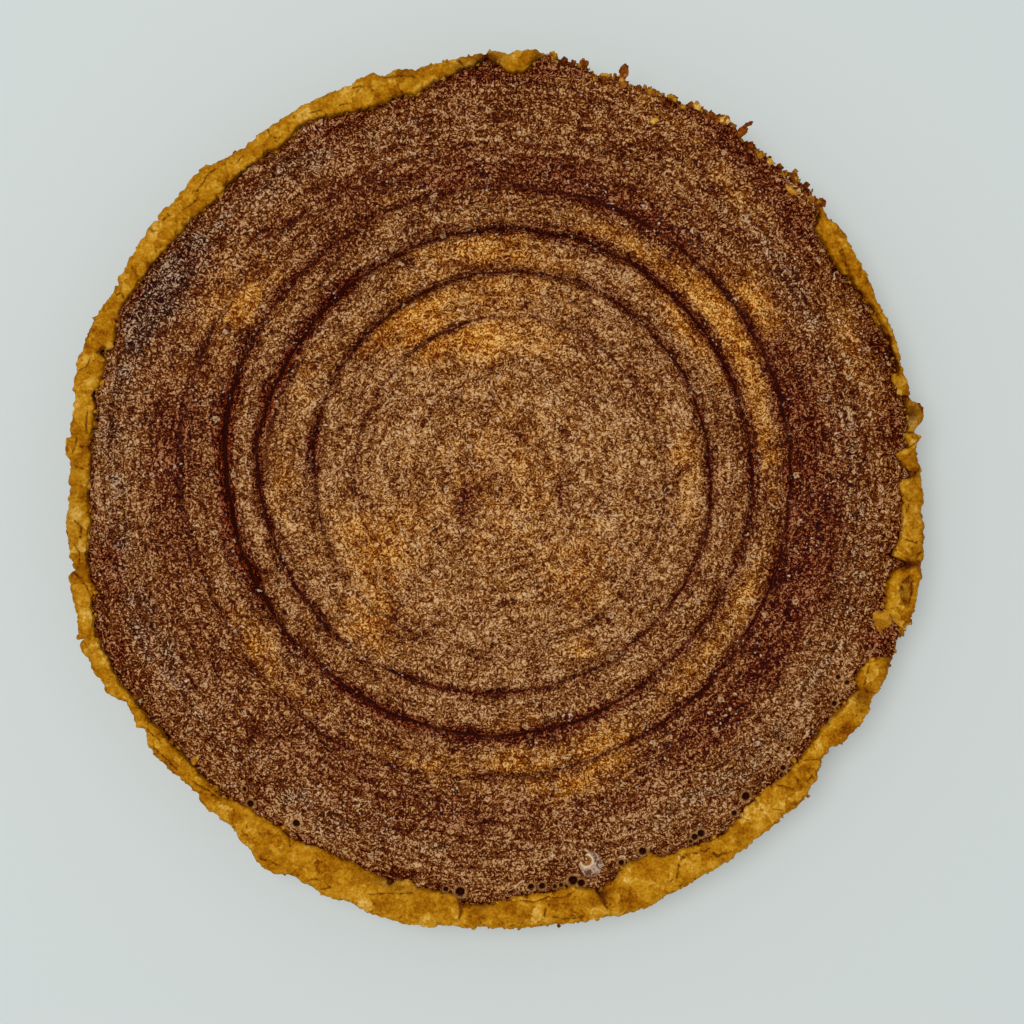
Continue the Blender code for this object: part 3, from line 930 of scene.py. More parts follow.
        # Each row has a cell's test, where its mark ends and is full, its colour, and the most that
        # shows of it. The first row paints glints, the second a painted highlight round a bubble's
        # rim, and the third painted shade in its pit.
        for operation, limit, far, near, code, most in (
            ("GREATER_THAN", 0.86, 0.27, 0.22, self.glint_colour, 0.7),
            ("LESS_THAN", 0.2, 0.42, 0.38, self.bubble_rim_highlight_colour, 0.65),
            ("LESS_THAN", 0.2, 0.32, 0.29, self.bubble_pit_shade_colour, 0.85),
        ):
            chosen = skin.add("Math", (cells.node.outputs["Color"], limit), operation=operation)
            ends = {"Value": reach, "From Min": far, "From Max": near, "To Max": most}
            inside = skin.add("MapRange", ends)
            stains.append((skin.add("Math", (inside, chosen), operation="MULTIPLY"), code))
        return skin.stain(colour, stains)

    def tones(self, skin: Layout, place: Socket, grain: Socket, reads: dict[str, Socket]) -> Socket:
        """Colour the skin by its tones, with patches whose edges break up.

        Args:
            skin: The material that takes the nodes.
            place: Where on the tart the skin is read.
            grain: How pale the skin is.
            reads: The skin's stored values, by name.

        Returns:
            The skin's colour.
        """
        stains = []
        # Each row has the tone, the size of its tatters, how torn its edge is and how soft. The
        # grey tone is painted sheen, a painted highlight of the soft light.
        for tone, size, torn, soft in (
            (Tone.PALENESS, 6.0 * MM, 1.3, 1.0),
            (Tone.GOLD, 4.0 * MM, 1.6, 1.0),
            (Tone.PAINTED_SHEEN, 4.0 * MM, 2.2, 0.8),
            (Tone.MAROON, 2.4 * MM, 2.6, 0.7),
        ):
            broken = skin.add(
                "TexNoise", {"Vector": place, "Scale": 1.0 / size, "Detail": 4.0, "Roughness": 0.7}
            )
            edge = skin.add("Math", (broken, torn, -0.5 * torn), operation="MULTIPLY_ADD")
            raised = skin.add("Math", (edge, reads[tone.name.lower()]), operation="ADD")
            ends = {"Value": raised, "From Min": 0.55 - 0.5 * soft, "From Max": 0.55 + 0.5 * soft}
            share = skin.add("MapRange", ends, interpolation_type="SMOOTHSTEP")
            stains.append((share, self.toned(skin, grain, tone)))
        return skin.stain(self.toned(skin, grain, Tone.BROWN), stains)

    def toned(self, skin: Layout, grain: Socket, tone: Tone) -> Socket:
        """Give the colours of one tone by how pale the skin is."""
        return skin.add("ValToRGB", {"Fac": grain}, stops=tuple(zip(self.tone_places, tone.value)))

    def creases(
        self, skin: Layout, place: Socket, grain: Socket, colour: Socket, reads: dict[str, Socket]
    ) -> Socket:
        """Darken the skin along its creases, with strands beside them.

        Args:
            skin: The material that takes the nodes.
            place: Where on the tart they are read.
            grain: How pale the skin is.
            colour: The skin's colour without them.
            reads: The skin's stored values, by name.

        Returns:
            The colour with them.
        """
        full, width = reads["crease"], reads["crease_width"]
        phase = (reads["crease_sine"], reads["crease_cosine"])
        phase = skin.add("Math", phase, operation="ARCTAN2")
        away = skin.add("Math", (phase, self.crease_pitch / (2.0 * math.pi)), operation="MULTIPLY")
        tears, sways, drifts = (
            skin.add(
                "TexNoise", {"Vector": place, "Scale": 1.0 / size, "Detail": 3.0, "Roughness": 0.75}
            )
            for size in self.tear_sizes
        )
        fine = skin.add("Math", (tears, 2.4, -1.2), operation="MULTIPLY_ADD")
        gentle = skin.add("Math", (fine, 0.35), operation="MULTIPLY")
        wide = skin.add("Math", (sways, 3.4, -1.7), operation="MULTIPLY_ADD")
        ends = {"Value": drifts, "From Min": 0.36, "From Max": 0.6, "To Min": 0.25}
        stained = skin.add("MapRange", ends)
        patched = skin.add("Math", (full, stained), operation="MULTIPLY")
        swayed = skin.add("Math", (fine, 0.5, away), operation="MULTIPLY_ADD")
        drift = skin.add("Math", (drifts, 8.0, -2.6), operation="MULTIPLY_ADD")
        beside = skin.add("Math", (swayed, drift), operation="SUBTRACT")
        ring = self.ring_place(skin, place, *self.strand)
        strands = skin.add("TexNoise", {"Vector": ring, "Scale": 1.0, "Detail": 1.0})
        strands = skin.add("Math", (strands, 0.5), operation="SUBTRACT")
        strands = skin.add("Math", (strands,), operation="ABSOLUTE")
        strands = skin.add("MapRange", {"Value": strands, "From Min": 0.05, "From Max": 0.02})
        stranded = skin.add("Math", (full, strands), operation="MULTIPLY")
        maroon = self.toned(skin, grain, Tone.MAROON)
        burnt = skin.add("ValToRGB", {"Fac": grain}, stops=self.crease_colours)
        stains = []
        # Each row has the line, its raggedness, its share of the crease's width, its softness, the
        # most that shows of it, its strength along the crease, and its colour.
        for line, ragged, share, soft, most, strength, code in (
            (away, wide, 1.6, 2.4, 0.8, patched, maroon),
            (beside, fine, 0.25, 0.4, 0.85, patched, maroon),
            (away, fine, 0.85, 0.9, 1.0, full, maroon),
            (away, fine, 1.0, 0.8, 0.85, stranded, burnt),
            (swayed, fine, 0.4, 0.4, 1.0, full, burnt),
            (swayed, gentle, 0.2, 0.25, 1.1, full, self.crease_colour),
        ):
            reach = skin.add("Math", (line,), operation="ABSOLUTE")
            reach = skin.add("Math", (reach, ragged), operation="ADD")
            reach = skin.add("Math", (width, -share, reach), operation="MULTIPLY_ADD")
            ends = {"Value": reach, "From Min": 0.5 * soft, "From Max": -0.5 * soft, "To Max": most}
            band = skin.add("MapRange", ends, interpolation_type="SMOOTHSTEP")
            amount = skin.add("Math", (band, strength), operation="MULTIPLY", use_clamp=True)
            stains.append((amount, code))
        return skin.stain(colour, stains)


@dataclass(frozen=True)
class ShortcrustFinish:
    """Baked shortcrust pastry: rubbed flour and butter, rolled, pressed and browned.

    Its crags are painted pale gold and its hollows and cracks orange-brown, painted highlight and
    shade that follow its relief, with painted shade along the cracks; its surface is dry, matt and
    sandy.
    """

    name: str = "baked_shortcrust"
    crumb: Pair = (1.7 * MM, 0.5)
    sand: Pair = (0.6 * MM, 0.55)
    scorch_size: float = 6.0 * MM
    scorch_share: float = 0.6
    flake: Pair = (3.0 * MM, 0.4)
    flake_bend: Pair = (1.4 * MM, 2.4 * MM)
    freckle_sizes: Pair = (1.1 * MM, 4.5 * MM)
    crack_sizes: Pair = (1.2 * MM, 0.9 * MM)
    painted_relief_light_share: float = 0.2
    bump_height: float = 0.15 * MM
    roughness: float = 0.7
    gloss: float = 0.02
    colours: Stops = (
        (0.0, "#3A1402"),
        (0.2, "#783E02"),
        (0.38, "#965C04"),
        (0.52, "#A86F0C"),
        (0.68, "#BC861E"),
        (1.0, "#E2BA66"),
    )
    stain_and_crack_shade_colour: str = "#421003"

    def build(self) -> bpy.types.Material:
        """Build the material.

        Returns:
            The finished material.
        """
        crust = Layout(self.name)
        place = crust.add("TexCoord")
        relief, stain = (
            crust.add("Attribute", attribute_name=name) for name in ("relief", "stain")
        )
        parts = [
            (crust.add("TexNoise", {"Vector": place, "Scale": 1.0 / size, "Detail": detail}), share)
            for (size, share), detail in (
                (self.crumb, 3.0),
                (self.sand, 1.0),
                ((self.scorch_size, self.scorch_share), 2.0),
            )
        ]
        size, sway = self.flake_bend
        bent = crust.add("TexNoise", {"Vector": place, "Scale": 1.0 / size, "Detail": 2.0})
        bent = {0: bent.node.outputs["Color"], "Scale": sway}
        bent = crust.add("VectorMath", bent, operation="SCALE")
        bent = crust.add("VectorMath", (bent, place), operation="ADD")
        size, share = self.flake
        flakes = crust.add("TexVoronoi", {"Vector": bent, "Scale": 1.0 / size})
        parts.append((flakes.node.outputs["Color"], share))
        # Paler on the crags and darker in the hollows: painted highlight and shade that follow the
        # relief.
        total = crust.add("Math", (relief, self.painted_relief_light_share, 0.5), operation="MULTIPLY_ADD")
        for pattern, share in parts:
            base = crust.add("Math", (total, 0.5 * share), operation="SUBTRACT")
            total = crust.add("Math", (pattern, share, base), operation="MULTIPLY_ADD")
        colour = crust.add("ValToRGB", {"Fac": total}, stops=self.colours)
        # Scorched freckles and browned patches are the crust's own colour, the inner wall is made
        # darker, and the dark along its cracks is painted shade.
        shares = (self.freckles(crust, place), stain, self.cracks(crust, place))
        colour = crust.stain(colour, [(share, self.stain_and_crack_shade_colour) for share in shares])
        bump = crust.add("Bump", {"Height": total, "Distance": self.bump_height, "Strength": 1.0})
        looks = {"Base Color": colour, "Normal": bump, "Roughness": self.roughness}
        return crust.close({**looks, "Specular IOR Level": self.gloss})

    def freckles(self, crust: Layout, place: Socket) -> Socket:
        """Scatter small scorched freckles in clusters.

        Args:
            crust: The material that takes the nodes.
            place: Where on the crust they are read.

        Returns:
            How scorched each place is.
        """
        small, clusters = (
            crust.add("TexNoise", {"Vector": place, "Scale": 1.0 / size, "Detail": detail})
            for size, detail in zip(self.freckle_sizes, (2.0, 0.0))
        )
        ends = {"Value": small, "From Min": 0.6, "From Max": 0.68, "To Max": 0.6}
        spots = crust.add("MapRange", ends)
        held = crust.add("MapRange", {"Value": clusters, "From Min": 0.5, "From Max": 0.62})
        return crust.add("Math", (spots, held), operation="MULTIPLY")

    def cracks(self, crust: Layout, place: Socket) -> Socket:
        """Draw painted shade along the crust's cracks, with ragged sides.

        Args:
            crust: The material that takes the nodes.
            place: Where on the crust they are read.

        Returns:
            How much painted shade each place takes.
        """
        side, near = (
            crust.add("Attribute", attribute_name=name) for name in ("line_side", "line_near")
        )
        ragged, broken = (
            crust.add(
                "TexNoise",
                {"Vector": place, "Scale": 1.0 / size, "Detail": detail, "Roughness": roughness},
            )
            for size, detail, roughness in zip(self.crack_sizes, (3.0, 1.0), (0.8, 0.5))
        )
        side = crust.add("Math", (ragged, 8.0, side), operation="MULTIPLY_ADD")
        side = crust.add("Math", (side, 4.0), operation="SUBTRACT")
        away = crust.add("Math", (side,), operation="ABSOLUTE")
        ends = {"Value": away, "From Min": 1.4, "From Max": 0.4, "To Max": 0.85}
        line = crust.add("MapRange", ends)
        ends = {"Value": broken, "From Min": 0.38, "From Max": 0.5, "To Min": 0.25}
        held = crust.add("MapRange", ends)
        line = crust.add("Math", (line, held), operation="MULTIPLY")
        return crust.add("Math", (line, near), operation="MULTIPLY")


@dataclass(frozen=True)
class BlisterFinish:
    """A blown blister of custard skin, thin and dried: pale and streaky, with a golden hole."""

    stops: Stops = ((0.42, "#5E3A20"), (0.62, "#B89C84"))
    gold: str = "#8A5414"
    rim: str = "#CEB494"
    streak_size: float = 1.3 * MM
    roughness: float = 0.45
    gloss: float = 0.2

    def build(self) -> bpy.types.Material:
        """Build the material.

        Returns:
            The finished material.
        """
        skin = Layout("dried_custard_blister")
        looks = {"Vector": skin.add("TexCoord"), "Scale": 1.0 / self.streak_size}
        streaks = skin.add("TexNoise", {**looks, "Detail": 3.0, "Distortion": 1.6})
        colour = skin.add("ValToRGB", {"Fac": streaks}, stops=self.stops)
        ring, hole = (skin.add("Attribute", attribute_name=name) for name in ("ring", "hole"))
        colour = skin.stain(colour, ((ring, self.rim), (hole, self.gold)))
        looks = {"Base Color": colour, "Roughness": self.roughness}
        return skin.close({**looks, "Specular IOR Level": self.gloss})


@dataclass(frozen=True)
class FloorFinish:
    """A sheet of pale matt paper."""

    colour: str = "#C9D0CF"
    roughness: float = 0.9
    gloss: float = 0.1

    def build(self) -> bpy.types.Material:
        """Build the material.

        Returns:
            The finished material.
        """
        looks = {"Base Color": linear_colour(self.colour), "Roughness": self.roughness}
        return Layout("pale_paper").close({**looks, "Specular IOR Level": self.gloss})


@dataclass(frozen=True)
class SkinZones:
    """Where the skin is pale, golden, grey with painted sheen, or maroon, about the middle of the
    creases.
    """

    middle: Pair = (-1.8 * MM, 1.9 * MM)
    pale_radius: float = 62.0 * MM
    pale_width: float = 26.0 * MM
    gold: tuple[Patch, ...] = listed(
        Patch,
        (338, 69, 8, 4, 0.45), (318, 67, 9, 4, 0.4), (294, 70, 7, 5, 0.75), (284, 76, 8, 3.5, 0.6),
        (217, 69, 11, 4.5, 0.45), (143, 74, 8, 6.5, 0.65), (34, 76, 7, 6, 0.85),
        (37, 69, 12, 4, 0.8), (8, 68, 8, 3, 0.5), (60, 67, 14, 3, 0.5), (90, 57, 18, 4.5, 0.4),
        (113, 43, 7, 6, 1), (94, 34, 11, 5, 1), (72, 36, 14, 5, 0.35), (209, 32, 19, 10, 0.55),
        (230, 45, 9, 8, 0.5), (352, 48, 8, 4, 0.25), (6, 48, 7, 4, 0.5), (300, 46, 4, 3, 0.6),
        (318, 30, 18, 9, 0.25), (50, 92, 9, 4, 0.3), (68, 99, 10, 3, 0.2), (40, 61, 12, 3, 0.7),
        (82, 48, 18, 8, 0.32), (112, 36, 8, 4, 0.6), (127, 43, 8, 5, 0.5), (277, 68, 9, 3.5, 0.5),
        (308, 34, 8, 5, 0.2), (258, 70, 12, 3.5, 0.4), (180, 50, 12, 3, 0.35),
        (150, 50, 12, 3, 0.3), (22, 68, 7, 5, 0.5), (100, 48, 14, 8, 0.35), (277, 60, 8, 3, 0.4),
        (20, 93, 8, 5, 0.4), (0, 0, 360, 24, 0.3),
    )
    pale: tuple[Patch, ...] = listed(
        Patch,
        (172, 93, 20, 7, 0.6), (175, 99, 15, 5, 0.85), (192, 86, 20, 6, 0.45),
        (250, 92, 24, 7, 0.45), (294, 94, 22, 8, 0.65), (325, 92, 17, 8, 0.75),
        (350, 90, 10, 5, 0.3), (125, 95, 14, 5, 0.4), (68, 84, 12, 5, 0.4), (22, 97, 12, 4, 0.3),
        (105, 17, 360, 5, 0.2),
    )
    # The grey patches, mostly on the outer band, are painted sheen of the soft light.
    painted_sheen: tuple[Patch, ...] = listed(
        Patch,
        (148, 91, 9, 6, 1.1), (165, 92, 16, 6, 0.5), (125, 91, 12, 5, 0.4), (25, 88, 30, 6, 0.5),
        (310, 92, 26, 5, 0.45), (200, 90, 24, 6, 0.55), (105, 87, 22, 6, 0.35),
        (250, 89, 26, 6, 0.4), (345, 92, 18, 5, 0.3),
    )
    maroon: tuple[Patch, ...] = listed(
        Patch,
        (352, 79.5, 13, 7, 1), (332, 79.5, 12, 6, 0.8), (312, 79, 10, 5.5, 0.7),
        (292, 83, 10, 4, 0.35), (12, 78, 8, 5, 0.8), (24, 79, 5, 4, 0.5), (55, 75, 7, 4, 0.6),
        (75, 76.5, 14, 4.5, 0.75), (98, 75, 10, 4.5, 0.6), (115, 77, 9, 4, 0.4),
        (172, 77, 9, 6, 0.9), (190, 78, 10, 5, 0.5), (215, 80, 12, 5, 0.35), (245, 79, 14, 5, 0.45),
        (268, 81, 10, 4, 0.4), (40, 97, 6, 5, 0.6), (85, 100, 10, 5, 0.5), (114, 94, 5, 3.5, 0.8),
        (192, 94, 8, 5, 0.6), (338, 102, 4, 4, 1), (205, 99, 6, 3, 0.5), (255, 99, 8, 3, 0.5),
        (285, 98, 6, 2.5, 0.5), (8, 99, 5, 4, 0.5), (20, 100, 5, 2.5, 0.8), (52, 101, 9, 4, 0.5),
        (70, 103, 14, 2.5, 0.4), (0, 0, 360, 8, 0.45), (125, 68, 9, 5, 0.35), (146, 68, 12, 5, 0.2),
        (202, 67, 16, 5, 0.15), (252, 68, 14, 5, 0.28), (277, 77, 12, 4, 0.28),
        (343, 56, 12, 7, 0.2), (295, 15, 25, 5, 0.2), (94, 99, 8, 4, 0.4), (51, 99, 8, 4, 0.3),
    )
    pale_share: float = 0.9
    gold_base: float = 0.12
    maroon_base: float = 0.16
    maroon_start: float = 40.0 * MM
    maroon_ease: float = 20.0 * MM
    edge_share: float = 0.8
    edge_width: float = 1.5 * MM
    edge_sway: float = 1.2
    edge_size: float = 5.0 * MM

    def read(self, places: np.ndarray, gaps: np.ndarray) -> dict[str, np.ndarray]:
        """Give each zone's strength at some places.

        Args:
            places: Places in the plane, one a row.
            gaps: How far each is inside the custard's edge.

        Returns:
            A value from 0 to 1 for each place, by the zone's name.
        """
        offsets = places - np.array(self.middle)
        angles = np.degrees(np.arctan2(offsets[:, 1], offsets[:, 0]))
        radii = np.hypot(offsets[:, 0], offsets[:, 1])
        pale, gold, painted_sheen, maroon = (
            np.clip(sum_patches(angles, radii, patches), 0.0, 1.0)
            for patches in (self.pale, self.gold, self.painted_sheen, self.maroon)
        )
        inside = ease((self.pale_radius + self.pale_width - radii) / (2.0 * self.pale_width))
        outside = ease((radii - self.maroon_start) / self.maroon_ease)
        sways = lumps(in_space(places), self.edge_size, 80.0)
        edge_width = self.edge_width * (1.0 + self.edge_sway * sways)
        return {
            "paleness": pale + self.pale_share * inside,
            "gold": self.gold_base + gold,
            "painted_sheen": painted_sheen,
            "maroon": np.maximum(
                maroon + self.maroon_base * outside, self.edge_share * bell(gaps, edge_width)
            ),
        }


@dataclass
class CustardFilling:
    """The baked custard: a creased skin with burst bubbles, a ragged edge and a plain underside."""

    shape: TartShape
    trace: RimTrace
    crease: SpiralCrease
    zones: SkinZones
    finish: CustardSkinFinish
    cells: int = 276
    tuck: float = 0.9 * MM
    tuck_drop: float = 1.4 * MM
    lip_insets: Pair = (0.2 * MM, 0.7 * MM)
    lip_height: float = 24.0 * MM
    lip_underside: float = 21.5 * MM
    wall_gap: float = 0.3 * MM
    base_thickness: float = 4.3 * MM
    floor_inset: float = 6.6 * MM
    spill_back: float = 0.4 * MM
    spill_rag: float = 0.7 * MM
    rag_size: float = 1.8 * MM
    hole_margin: float = 1.2 * MM
    hole_cuts: int = 2
    hole_depth: float = 0.7
    # Where the painted shade inside each burst hole fades, and where the painted highlight round it
    # lies.
    hole_shade: Pair = (1.18, 3.0)
    hole_highlight: Pair = (1.35, 0.3)
    swells: tuple[Pair, ...] = (
        (16.0 * MM, 0.35 * MM),
        (6.0 * MM, 0.24 * MM),
        (2.6 * MM, 0.16 * MM),
        (1.4 * MM, 0.09 * MM),
    )
    holes: tuple[Hole, ...] = listed(
        Hole,
        (-12, -96.4, 1.2), (-8.5, -97.1, 2.2), (8.6, -96.1, 1.5), (11.3, -95.9, 1.5),
        (14.4, -96.1, 1), (15.9, -95.7, 1), (17.1, -96.1, 1), (18.8, -94.6, 2.2),
        (20.8, -95.3, 1.7), (30.5, -90.3, 1.3), (35.6, -87.4, 1.8), (47.2, -85, 0.9),
        (48.2, -83.8, 1.5), (49.7, -83, 1.7), (57.8, -78.2, 1.3), (60.6, -74.1, 1.9),
        (69.8, -67.3, 1.3), (71, -62.6, 1.1), (82.2, -51.7, 1.3), (82.9, -45.2, 1.2),
        (85.1, -46.6, 1.2), (-59.4, -76, 1.6), (-60.8, -72.4, 1.1), (-48.2, -80.6, 1.8),
    )
    rings: tuple[Hole, ...] = listed(
        Hole,
        (18.8, -77.5, 4), (11.8, 102.4, 3), (93.1, -36.5, 2.2), (88.9, -47.5, 1.9),
        (86.5, -45.9, 1.7), (-73.3, 55.8, 3.2),
    )
    ring_width: float = 0.4 * MM
    streak_groove: float = 0.35 * MM
    streak_gain: float = 1.6
    side_height: float = 24.6 * MM
    side_darkness: float = 0.8
    edge_inset: float = 0.4 * MM
    streaks: tuple[Streak, ...] = listed(
        Streak,
        (-6.7, -2.6, 95, 7, 3.6, 0.6), (-7.3, 4, 85, 6, 1.6, 0.4), (15.8, -0.3, 88, 4.5, 1.2, 0.55),
        (29.5, 44.9, 125, 4, 0.8, 0.6), (22, 33.7, 120, 2.5, 0.7, 0.5),
        (-24.9, -31.1, 55, 3, 0.8, 0.6), (-31.2, -40.3, 55, 3.2, 0.8, 0.6),
        (-43.6, -55.8, 50, 4, 0.9, 0.7), (-77.6, 14.1, 175, 3.6, 0.9, 0.8),
        (-64, 13, 160, 2, 0.5, 0.9), (27.4, -31.5, 150, 3, 0.8, 0.6), (45, 4, 60, 3.5, 1.1, 0.5),
        (-20.8, 53.6, 100, 2.4, 1, 0.6), (-9.5, -62, 100, 2.4, 0.9, 0.4),
        (-16.6, 84, 10, 1.1, 0.9, 0.8), (10.3, 76.5, 20, 1.1, 0.9, 0.8),
        (35.6, -67.7, 60, 1.2, 0.9, 0.7), (-20, -20.6, 70, 2, 1.2, 0.4),
        (-8.9, 22.8, 20, 1.6, 1.4, 0.45), (9, 19, 100, 1.6, 1, 0.35), (22, -46, 120, 2.4, 0.9, 0.5),
        (27, -55.5, 115, 2.2, 0.9, 0.5), (30.5, 54, 120, 2.6, 0.9, 0.55),
        (-51, 16.5, 150, 2, 0.8, 0.5), (-43, 9.6, 170, 2.4, 1.1, 0.6),
    )

    def edge_radius(self, angles: np.ndarray) -> np.ndarray:
        """Find the skin's edge, which is tucked under the rim, or ragged where it has spilt.

        Args:
            angles: Angles round the tart, in degrees.

        Returns:
            The edge's radius at each angle.
        """
        spill = read_round(self.shape.spill, angles)
        outer = read_round(self.trace.outer, angles)
        inner = read_round(self.trace.inner, angles)
        tucked = np.minimum(inner + self.tuck, outer - self.edge_inset)
        ring = in_space(self.shape.place(angles, np.full(len(angles), self.shape.mean_radius)))
        rag = lumps(ring, self.rag_size, 31.0) + 0.6 * lumps(ring, 0.45 * self.rag_size, 32.0)
        ragged = outer - self.spill_back + self.spill_rag * rag
        return tucked + (ragged - tucked) * spill

    def streak_depth(self, places: np.ndarray) -> np.ndarray:
        """Draw the short streaks.

        Args:
            places: Places in the plane, one a row.

        Returns:
            How strongly a streak marks each place, from 0 to 1.
        """
        total = np.zeros(len(places))
        for streak in self.streaks:
            turn = math.radians(streak.turn)
            offsets = places - np.array((streak.x, streak.y))
            along = offsets @ np.array((math.cos(turn), math.sin(turn)))
            across = offsets @ np.array((-math.sin(turn), math.cos(turn)))
            mark = bell(along, streak.half_length) * bell(across, streak.half_width)
            mark = np.minimum(self.streak_gain * streak.strength * mark, 1.0)
            total = np.maximum(total, mark)
        return total

    def hole_shares(self, places: np.ndarray) -> tuple[np.ndarray, np.ndarray, np.ndarray]:
        """Open the burst bubbles.

        Args:
            places: Places in the plane, one a row.

        Returns:
            How far each place has sunk into a bubble, how much painted shade it takes there, and
            how near its rim, where a painted highlight goes.
        """
        (shaded, sharp), (edge, half_width) = self.hole_shade, self.hole_highlight
        sunk, dark, rim = np.zeros((3, len(places)))
        for hole in self.holes:
            reach = np.hypot(places[:, 0] - hole.x, places[:, 1] - hole.y) / (0.5 * hole.width)
            bowl = np.sqrt(np.clip(1.0 - reach**2, 0.0, 1.0))
            sunk = np.maximum(sunk, self.hole_depth * hole.width * bowl)
            dark = np.maximum(dark, ease(sharp * (shaded - reach)))
            rim = np.maximum(rim, bell(reach - edge, half_width))
        return sunk, dark, rim

    def build_skin(self) -> bmesh.types.BMesh:
        """Map a square grid on to the custard's outline, with finer cells round each bubble.

        Returns:
            The flat skin.
        """
        form = bmesh.new()
        bmesh.ops.create_grid(form, x_segments=self.cells, y_segments=self.cells, size=1.0)
        corners = np.array([point.co.xy for point in form.verts])
        across, along = corners[:, 0], corners[:, 1]
        wide = np.abs(across) > np.abs(along)
        reach = np.where(wide, across, along)
        safe = np.where(reach == 0.0, 1.0, reach)
        eighth = 0.25 * np.pi
        turns = np.where(wide, eighth * along / safe, 2.0 * eighth - eighth * across / safe)
        angles = np.degrees(turns) + np.where(reach < 0.0, 180.0, 0.0)
        places = self.shape.place(angles, np.abs(reach) * self.edge_radius(angles % 360.0))
        for point, (x, y) in zip(form.verts, places):
            point.co = (x, y, 0.0)
        near = {}
        for face in form.faces:
            centre = face.calc_center_median()
            for hole in self.holes:
                reach = math.hypot(centre.x - hole.x, centre.y - hole.y)
                if reach < 0.5 * hole.width + self.hole_margin:
                    near.update(dict.fromkeys(face.edges))
        bmesh.ops.subdivide_edges(form, edges=list(near), cuts=self.hole_cuts, use_grid_fill=True)
        return form

    def build(self) -> None:
        """Build the filling and dress it."""
        form = self.build_skin()
        places = np.array([point.co.xy for point in form.verts])
        distance, phase, strength, _ = self.crease.read(places)
        heights = self.shape.skin_height(places) + self.crease.relief(distance, phase, strength)
        for layer, (size, height) in enumerate(self.swells):
            heights += height * lumps(in_space(places), size, 40.0 + layer)
        heights -= self.hole_shares(places)[0] + self.streak_groove * self.streak_depth(places)
        angles, radii = self.shape.polar(places)
        covered = (radii - read_round(self.trace.inner, angles)) / (0.5 * MM)
        heights -= self.tuck_drop * ease(covered) * (1.0 - read_round(self.shape.spill, angles))
        for point, height in zip(form.verts, heights):
            point.co.z = height
        edges = [edge for edge in form.edges if edge.is_boundary]
        for ring in self.side_rings():
            edges = self.drop_ring(form, edges, ring)
        bmesh.ops.edgeloop_fill(form, edges=edges)
        bmesh.ops.recalc_face_normals(form, faces=form.faces)
        piece = finish_piece(form, "baked_custard", self.finish.build())
        self.mark(piece.data)
        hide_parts("custard_filling")

    def side_rings(self) -> tuple[Ring, ...]:
        """Give the rings of the custard's side, from its skin down to its foot.

        Returns:
            For each ring, a function that turns an angle and the radius above into a radius and a
            height.
        """
        shape = self.shape

        def under_lip(angle: float, radius: float) -> Pair:
            """Go down just under the lip."""
            return radius - self.lip_insets[0], self.lip_height

        def lip_edge(angle: float, radius: float) -> Pair:
            """Go down to the lip's lower edge."""
            return radius - self.lip_insets[1], self.lip_underside

        def lip_root(angle: float, radius: float) -> Pair:
            """Go in to the crust's inner wall."""
            inset = max(float(read_round(shape.rim_width, angle)), shape.wall_thickness)
            inner = float(read_round(shape.outline, angle)) - inset
            return inner - self.wall_gap, self.lip_underside

        def foot(angle: float, radius: float) -> Pair:
            """Go down the wall to the crust's floor."""
            base = shape.base(float(read_round(shape.outline, angle)))
            return base - self.floor_inset, self.base_thickness

        return under_lip, lip_edge, lip_root, foot

    def drop_ring(
        self, form: bmesh.types.BMesh, edges: list[bmesh.types.BMEdge], ring: Ring
    ) -> list[bmesh.types.BMEdge]:
        """Extrude the next ring of the custard's side.

        Args:
            form: The custard so far.
            edges: Its lowest closed ring of edges.
            ring: Where the new points go.

        Returns:
            The new ring's edges.
        """
        made = bmesh.ops.extrude_edge_only(form, edges=edges)["geom"]
        for point in [item for item in made if isinstance(item, bmesh.types.BMVert)]:
            offset = point.co.xy + Vector(self.shape.middle)
            angle = math.degrees(math.atan2(offset.y, offset.x)) % 360.0
            radius, height = ring(angle, offset.length)
            x, y = self.shape.place(np.array(angle), np.array(radius))
            point.co = (x, y, height)
        return [item for item in made if isinstance(item, bmesh.types.BMEdge)]

    def mark(self, mesh: bpy.types.Mesh) -> None:
        """Store what the skin's finish reads: zones, creases and holes.

        Args:
            mesh: The custard's mesh.
        """
        points = mesh_places(mesh)
        places = points[:, :2]
        angles, radii = self.shape.polar(places)
        gaps = np.clip(read_round(self.trace.inner, angles) - radii, 0.0, None)
        for name, values in self.zones.read(places, gaps).items():
            if name == "maroon":
                values = np.maximum(values, self.streak_depth(places))
                for ring in self.rings:
                    reach = np.hypot(places[:, 0] - ring.x, places[:, 1] - ring.y)
                    values = np.maximum(values, bell(reach - 0.5 * ring.width, self.ring_width))
                side = ease((self.side_height - points[:, 2]) / (1.0 * MM))
                values = np.maximum(values, self.side_darkness * side)
            set_attribute(mesh, name, values)
        _, phase, _, burns = self.crease.read(places)
        set_attribute(mesh, "crease_sine", np.sin(phase))
        set_attribute(mesh, "crease_cosine", np.cos(phase))
        set_attribute(mesh, "crease", burns[:, 0])
        set_attribute(mesh, "crease_width", burns[:, 1])
        # Painted shade inside each burst hole and a painted highlight round its rim.
        _, dark, rim = self.hole_shares(places)
        set_attribute(mesh, "hole", dark)
        set_attribute(mesh, "hole_highlight", rim)


